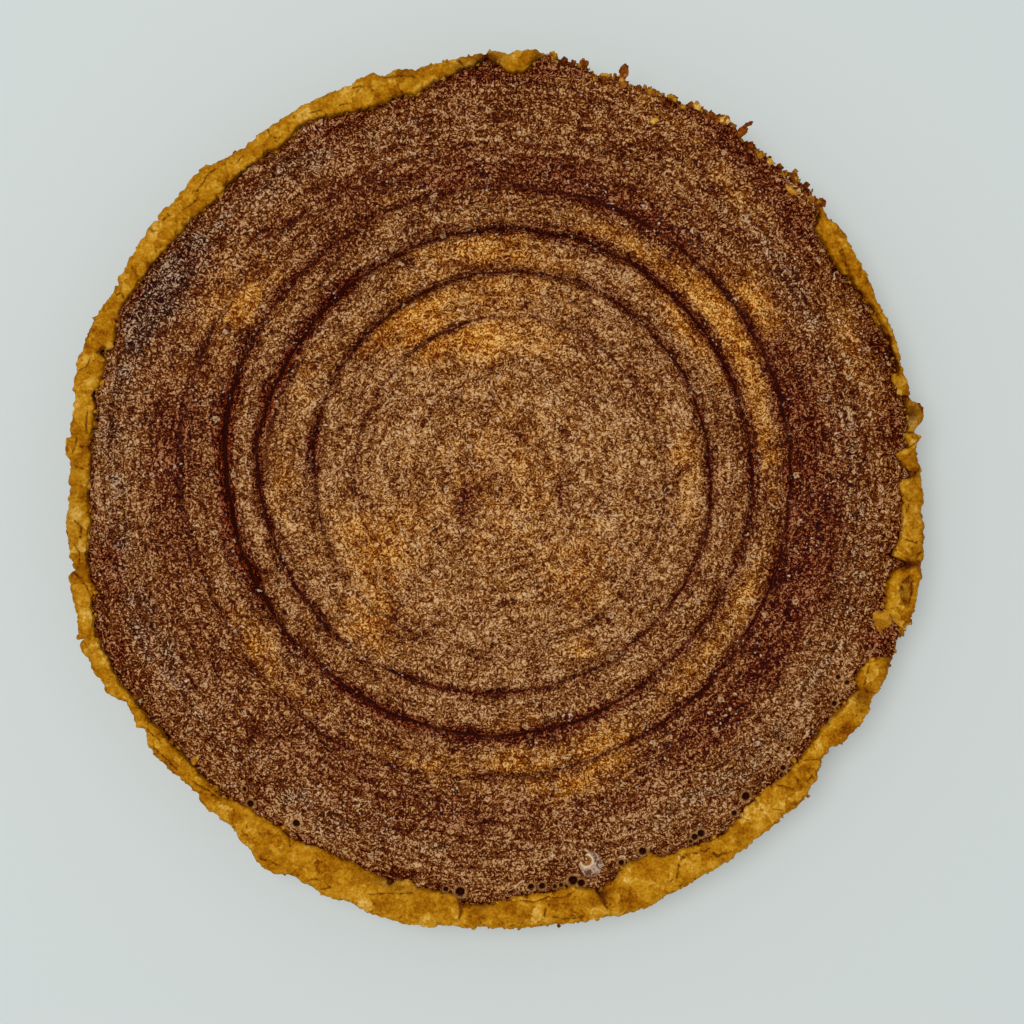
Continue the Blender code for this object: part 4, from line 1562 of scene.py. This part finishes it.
@dataclass
class PastryCase:
    """The shortcrust case, from its foot up its wall, over its craggy rim and down to its floor."""

    shape: TartShape
    trace: RimTrace
    finish: ShortcrustFinish
    steps: int = 2000
    base_round: float = 1.6 * MM
    base_bevel: Pair = (0.4 * MM, 0.35 * MM)
    lower_wall: Pair = (0.55, 11.0 * MM)
    upper_wall: Pair = (0.96, 20.4 * MM)
    shoulder_drop: float = 2.0 * MM
    crown: tuple[Pair, ...] = ((0.1, 0.5 * MM), (0.38, 0.0), (0.8, 0.3 * MM))
    inner_drop: float = 1.2 * MM
    sunk_height: float = 22.3 * MM
    sunk_waves: Pair = (3.0 * MM, 1.2 * MM)
    frays: tuple[Pair, ...] = ((2.6 * MM, 1.1 * MM), (5.0 * MM, 0.8 * MM))
    fray_back: float = 0.4 * MM
    spill_under: float = 1.2 * MM
    low_top: float = 21.2 * MM
    floor_inset: float = 6.0 * MM
    floor_height: float = 4.0 * MM
    rows: tuple[tuple[float, int], ...] = ((2, 3), (4, 9), (5, 5), (9, 22), (11, 6), (13, 3))
    rough_start: Pair = (1.6, 1.5)
    rough_end: Pair = (10.6, 0.8)
    crags: tuple[Pair, ...] = (
        (7.0 * MM, 0.35 * MM),
        (2.8 * MM, 0.16 * MM),
        (1.2 * MM, 0.08 * MM),
    )
    clump_size: float = 6.0 * MM
    clump_depth: float = 0.3 * MM
    clump_edge: float = 0.06
    hollow_depth: float = 0.45 * MM
    line_reach: float = 0.9 * MM
    top_start: float = 20.0 * MM
    inner_darkness: float = 0.45
    relief_full: float = 0.7 * MM
    # Each fissure has its width, and an angle and a radius for each of its corners.
    fissures: tuple[tuple[float, ...], ...] = (
        (0.9, 35, 101.9, 33, 100.9, 31.5, 100.5, 30, 100.2, 27.5, 100.9),
        (1, 27.5, 101.2, 25.5, 101.7, 22, 102, 19, 101.7, 16.5, 101.6),
        (0.9, 91.4, 106.6, 91, 104, 90.6, 102), (0.5, 94.9, 104.6, 94.2, 103.4),
        (0.3, 104.8, 103.7, 103, 103.1, 101, 102.2), (0.3, 109.4, 103.6, 108.2, 103.2, 109, 102.2),
        (0.3, 107.2, 102.8, 106.8, 101), (0.3, 115.8, 101.9, 114.4, 101.4),
        (0.3, 112.6, 101.2, 110.8, 100.6), (0.3, 122, 103.3, 122.2, 101.6, 121.6, 100.4),
        (0.35, 130.9, 103.1, 132.3, 103.3, 133.4, 102.6, 134.6, 102.2),
        (0.3, 135.4, 101.1, 137.6, 101.5), (0.3, 139.4, 103, 140.6, 103.5),
        (0.3, 126.9, 101.7, 127.9, 101.2), (0.35, 152.5, 103.2, 151.9, 102.3, 152.3, 101.3),
        (0.8, 160.2, 99.6, 160.5, 101.6, 159.7, 100.9),
        (0.35, 163.6, 104.8, 162.9, 103.4, 161.7, 103), (0.3, 172.4, 101.8, 174.6, 102.4),
        (0.3, 176.4, 101.9, 176.7, 99.5), (0.3, 168.8, 100.3, 170.4, 100, 171.6, 99.5),
        (0.3, 183.8, 101.6, 184.9, 100.2, 186.2, 100.8),
        (0.3, 187, 102.6, 188.2, 101.3, 189.4, 101.6),
        (0.35, 190.8, 103.6, 191.8, 102.4, 193, 101.5, 194.7, 100.9),
        (0.3, 216.8, 102.9, 219, 102, 221, 101.8), (0.35, 223.8, 100.8, 226, 100.1, 228.2, 99.6),
        (0.3, 214.6, 101.4, 216.4, 100.6), (0.3, 237.4, 105.1, 238.4, 104.5, 239.7, 104.2),
        (0.3, 239.9, 98.8, 239.2, 97.4), (0.3, 246.3, 104.6, 247.3, 103.4, 246.7, 102.7),
        (0.3, 244.4, 104, 245.2, 102.8),
        (0.35, 252.9, 101.4, 254.6, 100.2, 256.6, 99.4, 258.2, 98.7),
        (0.5, 265.2, 102.8, 265.4, 101.2, 265.1, 99.8),
        (0.3, 281.2, 98.3, 279.5, 99.4, 277.6, 98.8, 275.4, 99.5, 273.6, 98.9),
        (0.35, 276.7, 103, 276.9, 101.2), (0.25, 277.8, 103.6, 279.4, 104.6, 281.4, 104.9),
        (1, 285.3, 104.1, 285, 102.5, 284.8, 100.8, 284.5, 99.4),
        (0.5, 295.3, 102.8, 295.9, 101.2, 296.6, 99.7, 297.6, 99, 299.2, 99.7, 301, 100.2),
        (0.5, 302.6, 103.2, 301.6, 102.9, 301.2, 101.7), (0.3, 311.9, 103.2, 311.4, 102),
        (0.4, 316.5, 103.6, 316.2, 102.1, 316.5, 100.6),
        (0.35, 315.2, 102, 314.8, 100.3, 314.1, 98.5), (0.3, 318.2, 102.5, 317.2, 102.8),
        (0.3, 320.4, 100.8, 319.2, 99), (0.35, 332.6, 100.4, 333.8, 99.9, 335.2, 99.7),
        (0.3, 332.1, 103.3, 331.8, 101.6), (1, 350.6, 103.6, 350.1, 101.6, 349.5, 100),
        (0.3, 353.2, 102.1, 353.5, 99.6), (0.35, 352.1, 104, 351.2, 102.7),
        (1.1, 348.4, 101.6, 347.1, 100.5, 345.6, 101.3, 344.9, 102.5),
        (0.7, 347.9, 102.7, 346.3, 103.3, 344.7, 103.1), (0.5, 358.1, 100, 357.5, 99.7),
        (0.9, 2.9, 102.1, 2.4, 100.6, 2.1, 99.2), (0.5, 6.6, 101.8, 6.2, 100),
        (0.5, 8.2, 101.9, 8.3, 100.2), (0.5, 13, 103, 13.2, 101.4),
    )
    browned: tuple[Patch, ...] = listed(
        Patch,
        (10.8, 102.6, 1.6, 1.8, 0.8), (21, 101.6, 6, 0.9, 0.5), (91, 104.5, 2.2, 2.6, 0.8),
        (84, 105, 1.2, 2, 0.8), (95, 103, 1.4, 1, 0.5), (103, 103.4, 2, 1, 0.3),
        (160.3, 100.4, 0.6, 1.1, 0.9), (285, 100.4, 0.9, 1.8, 0.9), (331, 101.5, 1.8, 2.2, 0.5),
        (338, 104, 2.2, 1.6, 0.8), (350.2, 101.2, 0.6, 1.8, 0.9), (346.3, 101.6, 1.5, 1.1, 0.35),
        (352, 102.6, 1, 1.4, 0.3), (255, 98, 4, 1, 0.5), (268, 99.8, 2, 0.9, 0.6),
        (2.4, 100.6, 0.5, 1.6, 0.9), (0, 102, 12, 4, 0.16), (182, 102, 12, 4, 0.14),
    )

    def profile(self, angles: np.ndarray) -> np.ndarray:
        """Give the case's section at some angles as control points of radius and height.

        Args:
            angles: Angles round the case, in degrees.

        Returns:
            An array of control points, by angles, by radius and height.
        """
        shape = self.shape
        outline = read_round(shape.outline, angles)
        width = read_round(shape.rim_width, angles)
        spill = read_round(shape.spill, angles)
        base = shape.base(outline)
        ring = in_space(shape.place(angles, np.full(len(angles), shape.mean_radius)))
        (size, height), (coarse, coarse_height) = self.frays
        fray = height * lumps(ring, size, 51.0) + coarse_height * lumps(ring, coarse, 52.0)
        outer = read_round(self.trace.outer, angles) + spill * (fray - self.fray_back)
        size, height = self.sunk_waves
        sunk = self.sunk_height + height * lumps(ring, size, 53.0)
        crest = read_round(shape.crest_height, angles)
        crest = crest + (sunk - crest) * spill
        inner = read_round(self.trace.inner, angles) - self.spill_under * spill
        shoulder = crest - self.shoulder_drop
        full = outer - inner

        def mixed(share: float) -> np.ndarray:
            """Give the radii at a share of the way from the base's to the outline's."""
            return base + (outline - base) * share

        def level(height: float) -> np.ndarray:
            """Give one height all round."""
            return np.full(len(angles), height)

        inside = outline - np.maximum(width, shape.wall_thickness)
        points = (
            (base - self.base_round, level(0.0)),
            (base - self.base_bevel[0], level(self.base_bevel[1])),
            (base, level(self.base_round)),
            (mixed(self.lower_wall[0]), level(self.lower_wall[1])),
            (mixed(self.upper_wall[0]), np.minimum(self.upper_wall[1], shoulder - 1.0 * MM)),
            (outer, shoulder),
            *((outer - share * full, crest - drop) for share, drop in self.crown),
            (inner, crest - self.inner_drop),
            (inner, level(self.low_top + 1.0 * MM) - 1.0 * MM * spill),
            (inner, level(self.low_top) - 1.0 * MM * spill),
            (inside, level(self.low_top - 1.5 * MM)),
            (base - self.floor_inset, level(self.floor_height)),
        )
        return np.array([np.stack(point, axis=-1) for point in points])

    def row_places(self) -> np.ndarray:
        """Space the case's rows along its section.

        Returns:
            Each row's place, counted in control points.
        """
        places = [0.0]
        for end, count in self.rows:
            places.extend(np.linspace(places[-1], end, count + 1)[1:])
        return np.array(places)

    def surface(self, angles: np.ndarray, rows: np.ndarray) -> np.ndarray:
        """Run a smooth curve through the control points of each section.

        Args:
            angles: Angles round the case, in degrees.
            rows: The rows' places along the section.

        Returns:
            An array of points, by rows, by angles, by radius and height.
        """
        control = self.profile(angles)
        last = len(control) - 1
        lower = np.minimum(rows.astype(int), last - 1)
        share = (rows - lower)[:, None, None]
        before, first, second, after = (
            control[np.clip(lower + shift, 0, last)] for shift in (-1, 0, 1, 2)
        )
        start, finish = 0.5 * (second - before), 0.5 * (after - first)
        square, cube = share**2, share**3
        curve = (2 * cube - 3 * square + 1) * first + (cube - 2 * square + share) * start
        return curve + (3 * square - 2 * cube) * second + (cube - square) * finish

    def build(self) -> None:
        """Build the case and dress it."""
        rows = self.row_places()
        angles = 360.0 * np.arange(self.steps) / self.steps
        section = self.surface(angles, rows)
        flat = self.shape.place(np.broadcast_to(angles, section.shape[:2]), section[..., 0])
        points = np.concatenate((flat, section[..., 1:]), axis=-1)
        along = np.roll(points, -1, axis=1) - np.roll(points, 1, axis=1)
        up = np.gradient(points, axis=0)
        normals = np.cross(along, up)
        normals /= np.maximum(np.linalg.norm(normals, axis=-1, keepdims=True), 1e-12)
        (start, rise), (end, fall) = self.rough_start, self.rough_end
        rough = ease((rows - start) / rise) * ease((end - rows) / fall)
        rise, stain = self.relief(points.reshape(-1, 3), np.tile(angles, len(rows)))
        rise = rise.reshape(len(rows), -1)
        points += normals * (rise * rough[:, None])[..., None]
        points[..., 2] = np.maximum(points[..., 2], 0.0)
        form = self.build_form(points)
        bmesh.ops.recalc_face_normals(form, faces=form.faces)
        piece = finish_piece(form, "shortcrust_case", self.finish.build())
        self.mark(piece.data, points, rise, stain.reshape(len(rows), -1), rows)
        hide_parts("pastry_case")

    def relief(self, points: np.ndarray, angles: np.ndarray) -> tuple[np.ndarray, np.ndarray]:
        """Roughen the crust with crags, clumps and cracks, and brown it in patches.

        Args:
            points: Points of the smooth crust.
            angles: Their angles.

        Returns:
            How far each point rises, and how browned it is.
        """
        rise = np.zeros(len(points))
        for layer, (size, height) in enumerate(self.crags):
            rise += height * lumps(points, size, 60.0 + layer)
        gaps = cracks(points, self.clump_size, 63.0)
        rise += self.clump_depth * (ease(gaps / self.clump_edge) - 0.7)
        top = ease((points[:, 2] - self.top_start) / (4.0 * MM))
        rise -= self.hollow_depth * top * bell(self.fissure_sides(points[:, :2])[0], 1.2)
        _, radii = self.shape.polar(points[:, :2])
        return rise, np.clip(sum_patches(angles, radii, self.browned), 0.0, 0.95) * top

    def fissure_sides(self, places: np.ndarray) -> tuple[np.ndarray, np.ndarray]:
        """Find how far each place lies from the nearest crack.

        Args:
            places: Places in the plane, one a row.

        Returns:
            The distance, with a sign for the crack's side, as a share of half its width; and a
            share that falls from 1 to 0 away from it.
        """
        best = np.full(len(places), FAR_AWAY)
        side = np.full(len(places), FAR_AWAY / MM)
        for width, *corners in self.fissures:
            turns, radii = np.array(corners).reshape(-1, 2).T
            corners = self.shape.place(turns, radii * MM)
            for start, end in zip(corners, corners[1:]):
                run = end - start
                share = np.clip((places - start) @ run / (run @ run), 0.0, 1.0)
                offset = places - start - share[:, None] * run
                reach = np.hypot(offset[:, 0], offset[:, 1])
                sign = np.where(offset[:, 0] * run[1] > offset[:, 1] * run[0], 1.0, -1.0)
                nearer = reach < best
                best = np.where(nearer, reach, best)
                side = np.where(nearer, sign * reach / (0.5 * width * MM), side)
        return side, ease((self.line_reach - best) / (0.3 * MM))

    def build_form(self, points: np.ndarray) -> bmesh.types.BMesh:
        """Wrap a grid round the case, close its seam and fill its foot and its floor.

        Args:
            points: The case's points, by rows and steps round it.

        Returns:
            The closed case.
        """
        form = bmesh.new()
        last = len(points) - 1
        bmesh.ops.create_grid(form, x_segments=self.steps, y_segments=last, size=0.5)
        source = form.verts.layers.int.new("source")
        for point in form.verts:
            step = round((point.co.x + 0.5) * self.steps) % self.steps
            row = round((point.co.y + 0.5) * last)
            point.co = points[row, step]
            point[source] = row * self.steps + step
        seam = [point for point in form.verts if point.is_boundary]
        bmesh.ops.remove_doubles(form, verts=seam, dist=1e-7)
        rims = [edge for edge in form.edges if edge.is_boundary]
        low = [edge for edge in rims if edge.verts[0].co.z < 1.0 * MM]
        high = [edge for edge in rims if edge.verts[0].co.z >= 1.0 * MM]
        bmesh.ops.edgeloop_fill(form, edges=low)
        bmesh.ops.edgeloop_fill(form, edges=high)
        return form

    def mark(
        self,
        mesh: bpy.types.Mesh,
        points: np.ndarray,
        rise: np.ndarray,
        stain: np.ndarray,
        rows: np.ndarray,
    ) -> None:
        """Store what the crust's finish reads.

        Args:
            mesh: The case's mesh.
            points: Its points, by rows and steps round it.
            rise: How proud each stands.
            stain: How browned each is.
            rows: The rows' places along the section.
        """
        order = np.empty(len(mesh.vertices), dtype=np.int32)
        mesh.attributes["source"].data.foreach_get("value", order)
        # The relief paints highlight on the crags and shade in the hollows; the inner wall, below
        # the rim's inner edge, is made darker.
        relief = np.clip(rise / self.relief_full, -1.5, 1.2).reshape(-1)
        inner = ease((np.broadcast_to(rows[:, None], rise.shape) - 8.4) / 1.2).reshape(-1)
        set_attribute(mesh, "relief", relief[order] - 0.3 * inner[order])
        stain = np.maximum(stain.reshape(-1), self.inner_darkness * inner)
        set_attribute(mesh, "stain", stain[order])
        # Where the painted shade along the cracks goes.
        side, near = self.fissure_sides(points.reshape(-1, 3)[:, :2])
        top = ease((points.reshape(-1, 3)[:, 2] - self.top_start) / (3.0 * MM))
        set_attribute(mesh, "line_side", np.clip(side, -6.0, 6.0)[order])
        set_attribute(mesh, "line_near", (near * top)[order])


class CrumbKind(Enum):
    """What a crumb of crust looks like, by the colours of its finish."""

    GOLDEN = ((0, "#4A1E02"), (0.3, "#845006"), (0.52, "#A46C14"), (0.7, "#B88428"), (1, "#DEBC74"))
    BROWNED = (
        *((0, "#1E0400"), (0.35, "#5C2404"), (0.55, "#84440E")),
        *((0.75, "#A66A2A"), (1, "#CC9E66")),
    )
    PALE = ((0, "#6E3C04"), (0.4, "#B4822C"), (0.6, "#CCA04E"), (1, "#F0D8A4"))

    def finish(self) -> ShortcrustFinish:
        """Give the finish of crumbs of this kind."""
        name = self.name.lower() + "_crumb"
        return ShortcrustFinish(name=name, colours=self.value, scorch_share=0.3)


@dataclass(frozen=True)
class Morsel:
    """A crumb or flake: its place by angle and radius, its sizes, its turn and its lift.

    Lengths are in millimetres. Its turn is from the rim's tangent, and its lift is how far its
    middle stands above the skin.
    """

    name: str
    kind: CrumbKind
    angle: float
    radius: float
    length: float
    width: float
    height: float
    turn: float = 0.0
    lift: float = 0.0


@dataclass
class Morsels:
    """The crumbs and flakes of crust that are big enough to stand alone."""

    shape: TartShape
    jags: tuple[Pair, ...] = ((1.5 * MM, 0.5), (0.6 * MM, 0.3))
    flatness: float = 0.6
    morsels: tuple[Morsel, ...] = (
        Morsel("square_patch", CrumbKind.GOLDEN, 341.7, 98.3, 4.6, 4.4, 1.2, 8.0, 0.4),
        Morsel("patch_stem", CrumbKind.GOLDEN, 342.4, 102.4, 2.4, 3.6, 1.4, -10.0, 0.6),
        Morsel("pointed_flake", CrumbKind.PALE, 15.0, 101.7, 5.2, 2.2, 1.0, -22.0, 1.0),
        Morsel("rim_lump", CrumbKind.BROWNED, 10.7, 103.8, 4.6, 3.0, 2.4, 5.0, 0.4),
        Morsel("rim_tongue", CrumbKind.GOLDEN, 7.3, 101.9, 1.8, 3.4, 1.2, 5.0, 0.9),
        Morsel("high_crumb", CrumbKind.BROWNED, 73.0, 106.4, 1.9, 4.2, 2.0, 4.0, 0.2),
        Morsel("hooked_crumb", CrumbKind.BROWNED, 55.7, 106.4, 1.9, 3.8, 2.0, -6.0, 0.0),
        Morsel("hooked_crumb_whisker", CrumbKind.BROWNED, 55.4, 108.6, 0.9, 2.0, 0.9, -25.0, 0.2),
        Morsel("low_crumb", CrumbKind.BROWNED, 41.6, 106.3, 2.4, 1.9, 1.6, 0.0, -0.2),
        Morsel("stray_flake", CrumbKind.PALE, 66.9, 97.9, 2.0, 1.6, 0.7, 40.0, 0.4),
        Morsel("stray_crumb", CrumbKind.GOLDEN, 221.7, 97.3, 1.4, 2.6, 1.0, 15.0, 0.5),
        Morsel("left_flake", CrumbKind.PALE, 212.7, 102.9, 2.4, 1.2, 0.9, 0.0, 0.6),
        Morsel("upper_flake", CrumbKind.PALE, 173.3, 104.1, 2.2, 1.0, 0.8, 10.0, 0.6),
        Morsel("sunk_flake", CrumbKind.GOLDEN, 45.6, 102.6, 3.4, 1.3, 0.8, 0.0, 0.3),
        Morsel("fringe_a", CrumbKind.PALE, 58.4, 105.9, 2.8, 1.8, 1.4, 10.0, 0.1),
        Morsel("fringe_b", CrumbKind.PALE, 62.4, 105.8, 2.6, 1.5, 1.2, -10.0, 0.1),
        Morsel("fringe_c", CrumbKind.PALE, 50.2, 104.4, 2.2, 1.4, 1.2, 0.0, 0.2),
        Morsel("fringe_d", CrumbKind.GOLDEN, 66.0, 105.2, 2.0, 1.2, 1.2, 0.0, 0.0),
        Morsel("fringe_e", CrumbKind.GOLDEN, 75.2, 104.7, 2.4, 1.0, 1.0, 0.0, 0.0),
        Morsel("corner_crumb", CrumbKind.BROWNED, 78.2, 106.2, 2.2, 1.6, 1.6, 0.0, 0.0),
    )

    def build(self) -> None:
        """Build each morsel and dress it."""
        finishes = {kind: kind.finish().build() for kind in CrumbKind}
        for layer, morsel in enumerate(self.morsels):
            form = bmesh.new()
            bmesh.ops.create_icosphere(form, subdivisions=4, radius=1.0)
            unit = np.array([point.co for point in form.verts])
            unit[:, 2] = np.sign(unit[:, 2]) * np.abs(unit[:, 2]) ** self.flatness
            spots = unit * 0.5 * MM * np.array((morsel.length, morsel.width, morsel.height))
            swell = np.ones(len(spots))
            for size, share in self.jags:
                swell += share * lumps(spots, size, 90.0 + 3.0 * layer)
            turn = math.radians(morsel.angle + 90.0 + morsel.turn)
            place = self.shape.place(np.array(morsel.angle), np.array(morsel.radius * MM))
            height = float(self.shape.skin_height(place[None])[0]) + morsel.lift * MM
            moved = Matrix.Translation((*place, height)) @ Matrix.Rotation(turn, 4, "Z")
            for point, spot in zip(form.verts, spots * swell[:, None]):
                point.co = moved @ Vector(spot)
            finish_piece(form, "crust_" + morsel.name, finishes[morsel.kind])


class RimEdge(Enum):
    """Which edge of the crust crumbs cling to."""

    OUTER = "outer"
    INNER = "inner"


@dataclass(frozen=True)
class CrumbBand:
    """A stretch of rim with crumbs on it, its lengths in millimetres.

    Attributes:
        edge: The edge they cling to.
        angles: Where it starts and ends, in degrees.
        count: How many crumbs it has.
        inward: How far inside that edge they lie, and spread.
        heights: Their lowest and highest middles.
        sizes: Their least and greatest widths.
        browned: The share of them that are browned.
    """

    edge: RimEdge
    angles: Pair
    count: int
    inward: Pair
    heights: Pair
    sizes: Pair
    browned: float


@dataclass
class EdgeCrumbs:
    """The many small crumbs that cling to the crust's broken edges."""

    shape: TartShape
    trace: RimTrace
    seed: int = 11
    jag_size: float = 0.5 * MM
    jag_height: float = 0.18 * MM
    clump: float = 1.6
    clump_sway: float = 0.6 * MM
    bands: tuple[CrumbBand, ...] = (
        CrumbBand(RimEdge.OUTER, (41, 84), 560, (0.7, 0.4), (22.4, 25.5), (0.3, 0.95), 0.8),
        CrumbBand(RimEdge.OUTER, (41, 84), 150, (0.2, 0.35), (23, 25), (0.25, 0.6), 0.7),
        CrumbBand(RimEdge.INNER, (0, 360), 260, (0.1, 0.35), (25.2, 25.9), (0.35, 0.9), 0.4),
        CrumbBand(RimEdge.OUTER, (85, 400), 240, (0.3, 0.2), (24.2, 25.8), (0.35, 0.8), 0.15),
    )

    def build(self) -> None:
        """Build the crumbs, one piece for each kind."""
        chance = np.random.default_rng(self.seed)
        forms = {kind: bmesh.new() for kind in (CrumbKind.GOLDEN, CrumbKind.BROWNED)}
        for band in self.bands:
            for _ in range(band.count):
                kind = CrumbKind.BROWNED if chance.random() < band.browned else CrumbKind.GOLDEN
                self.drop_crumb(forms[kind], band, chance)
        for kind, form in forms.items():
            bmesh.ops.subdivide_edges(
                form, edges=form.edges, cuts=1, use_grid_fill=True, smooth=1.0
            )
            points = np.array([point.co for point in form.verts])
            shift = [lumps(points, self.jag_size, 120.0 + 4.0 * axis) for axis in range(3)]
            shift = np.column_stack(shift) * self.jag_height / USUAL_LUMP
            for point, offset in zip(form.verts, shift):
                point.co += Vector(offset)
            name = kind.name.lower() + "_edge_crumbs"
            finish_piece(form, name, kind.finish().build())

    def drop_crumb(
        self, form: bmesh.types.BMesh, band: CrumbBand, chance: np.random.Generator
    ) -> None:
        """Add one rough cube, turned by chance, at a place in a band.

        Args:
            form: The crumbs of one kind.
            band: The stretch of rim.
            chance: Where the random draws come from.
        """
        (inset, spread), (low, high), (least, most) = (
            np.array(pair) * MM for pair in (band.inward, band.heights, band.sizes)
        )
        angle = chance.uniform(*band.angles) % 360.0
        table = self.trace.outer if band.edge is RimEdge.OUTER else self.trace.inner
        bare = float(lumps(np.array([[angle, 0.0, 0.0]]), self.clump, 140.0)[0])
        radius = float(read_round(table, angle)) - chance.normal(inset, spread)
        radius -= self.clump_sway * bare
        x, y = self.shape.place(np.array(angle), np.array(radius))
        size = least + (most - least) * chance.random() ** 2
        turns = chance.uniform(0.0, math.tau, 3)
        matrix = Matrix.Translation((x, y, chance.uniform(low, high)))
        for axis, turn in zip("XYZ", turns):
            matrix = matrix @ Matrix.Rotation(turn, 4, axis)
        stretch = 1.0 + 1.4 * chance.random() ** 4
        squash = Matrix.Diagonal(
            (size * stretch, size * chance.uniform(0.5, 0.9), size * chance.uniform(0.4, 0.8), 1.0)
        )
        bmesh.ops.create_cube(form, size=1.0, matrix=matrix @ squash)


@dataclass
class Blister:
    """A blown blister on the skin near the lower rim, with a round hole in its top."""

    shape: TartShape
    finish: BlisterFinish
    x: float = 23.2 * MM
    y: float = -90.6 * MM
    width: float = 6.4 * MM
    length: float = 7.2 * MM
    rise: float = 1.3 * MM
    hole: Hole = Hole(22.0 * MM, -89.6 * MM, 2.7 * MM)
    hole_depth: float = 0.7 * MM
    crinkle: float = 0.25 * MM

    def build(self) -> None:
        """Build the blister and dress it."""
        form = bmesh.new()
        bmesh.ops.create_uvsphere(form, u_segments=64, v_segments=40, radius=1.0)
        unit = np.array([point.co for point in form.verts])
        places = unit[:, :2] * 0.5 * np.array((self.width, self.length))
        places += np.array((self.x, self.y))
        wave = lumps(in_space(places), 1.6 * MM, 130.0)
        hole = self.hole
        reach = np.hypot(places[:, 0] - hole.x, places[:, 1] - hole.y) / (0.5 * hole.width)
        heights = self.shape.skin_height(places) + unit[:, 2] * self.rise + self.crinkle * wave
        heights -= self.hole_depth * ease(1.2 - reach) * (unit[:, 2] > 0.0)
        for point, (x, y), height in zip(form.verts, places, heights):
            point.co = (x, y, height)
        piece = finish_piece(form, "custard_blister", self.finish.build())
        set_attribute(piece.data, "hole", ease(4.0 * (1.0 - reach)))
        set_attribute(piece.data, "ring", bell(reach - 1.15, 0.2))


@dataclass
class Studio:
    """The pale floor, the soft light and the camera straight above."""

    floor_size: float = 3.0
    view_middle: Pair = (4.0 * MM, -5.3 * MM)
    view_width: float = 248.6 * MM
    view_height: float = 24.8 * MM
    lens: float = 60.0
    sensor: float = 36.0
    sky_colour: str = "#FAFDFC"
    sky_strength: float = 0.5
    lamp_place: tuple[float, float, float] = (-0.24, 0.12, 1.7)
    lamp_size: float = 0.9
    lamp_power: float = 19.0

    def build(self) -> None:
        """Build the floor, the lights and the camera."""
        form = bmesh.new()
        bmesh.ops.create_grid(form, x_segments=1, y_segments=1, size=0.5 * self.floor_size)
        mesh = bpy.data.meshes.new("floor")
        form.to_mesh(mesh)
        form.free()
        mesh.materials.append(FloorFinish().build())
        floor = bpy.data.objects.new("floor", mesh)
        bpy.context.scene.collection.objects.link(floor)
        self.light()
        self.aim()

    def light(self) -> None:
        """Set an even pale sky and one large soft lamp."""
        world = bpy.data.worlds.new("pale_sky")
        world.use_nodes = True
        sky = world.node_tree.nodes["Background"]
        sky.inputs["Color"].default_value = linear_colour(self.sky_colour)
        sky.inputs["Strength"].default_value = self.sky_strength
        bpy.context.scene.world = world
        lamp = bpy.data.lights.new("soft_lamp", "AREA")
        lamp.shape = "DISK"
        lamp.size = self.lamp_size
        lamp.energy = self.lamp_power
        holder = bpy.data.objects.new("soft_lamp", lamp)
        holder.location = self.lamp_place
        holder.rotation_euler = (-Vector(self.lamp_place)).to_track_quat("-Z", "Y").to_euler()
        bpy.context.scene.collection.objects.link(holder)

    def aim(self) -> None:
        """Set the camera straight above, framing the tart."""
        camera = bpy.data.cameras.new("camera")
        camera.lens = self.lens
        camera.sensor_width = self.sensor
        camera.clip_start = 0.01
        camera.clip_end = 10.0
        holder = bpy.data.objects.new("camera", camera)
        distance = self.view_width * self.lens / self.sensor
        holder.location = (*self.view_middle, self.view_height + distance)
        bpy.context.scene.collection.objects.link(holder)
        bpy.context.scene.camera = holder
        bpy.context.scene.view_settings.view_transform = "Standard"


def main() -> None:
    """Build and dress the tart, piece by piece."""
    shape = TartShape()
    trace = RimTrace(shape)
    CustardFilling(shape, trace, SpiralCrease(), SkinZones(), CustardSkinFinish()).build()
    PastryCase(shape, trace, ShortcrustFinish()).build()
    Morsels(shape).build()
    EdgeCrumbs(shape, trace).build()
    Blister(shape, BlisterFinish()).build()
    Studio().build()


if __name__ == "__main__":
    main()
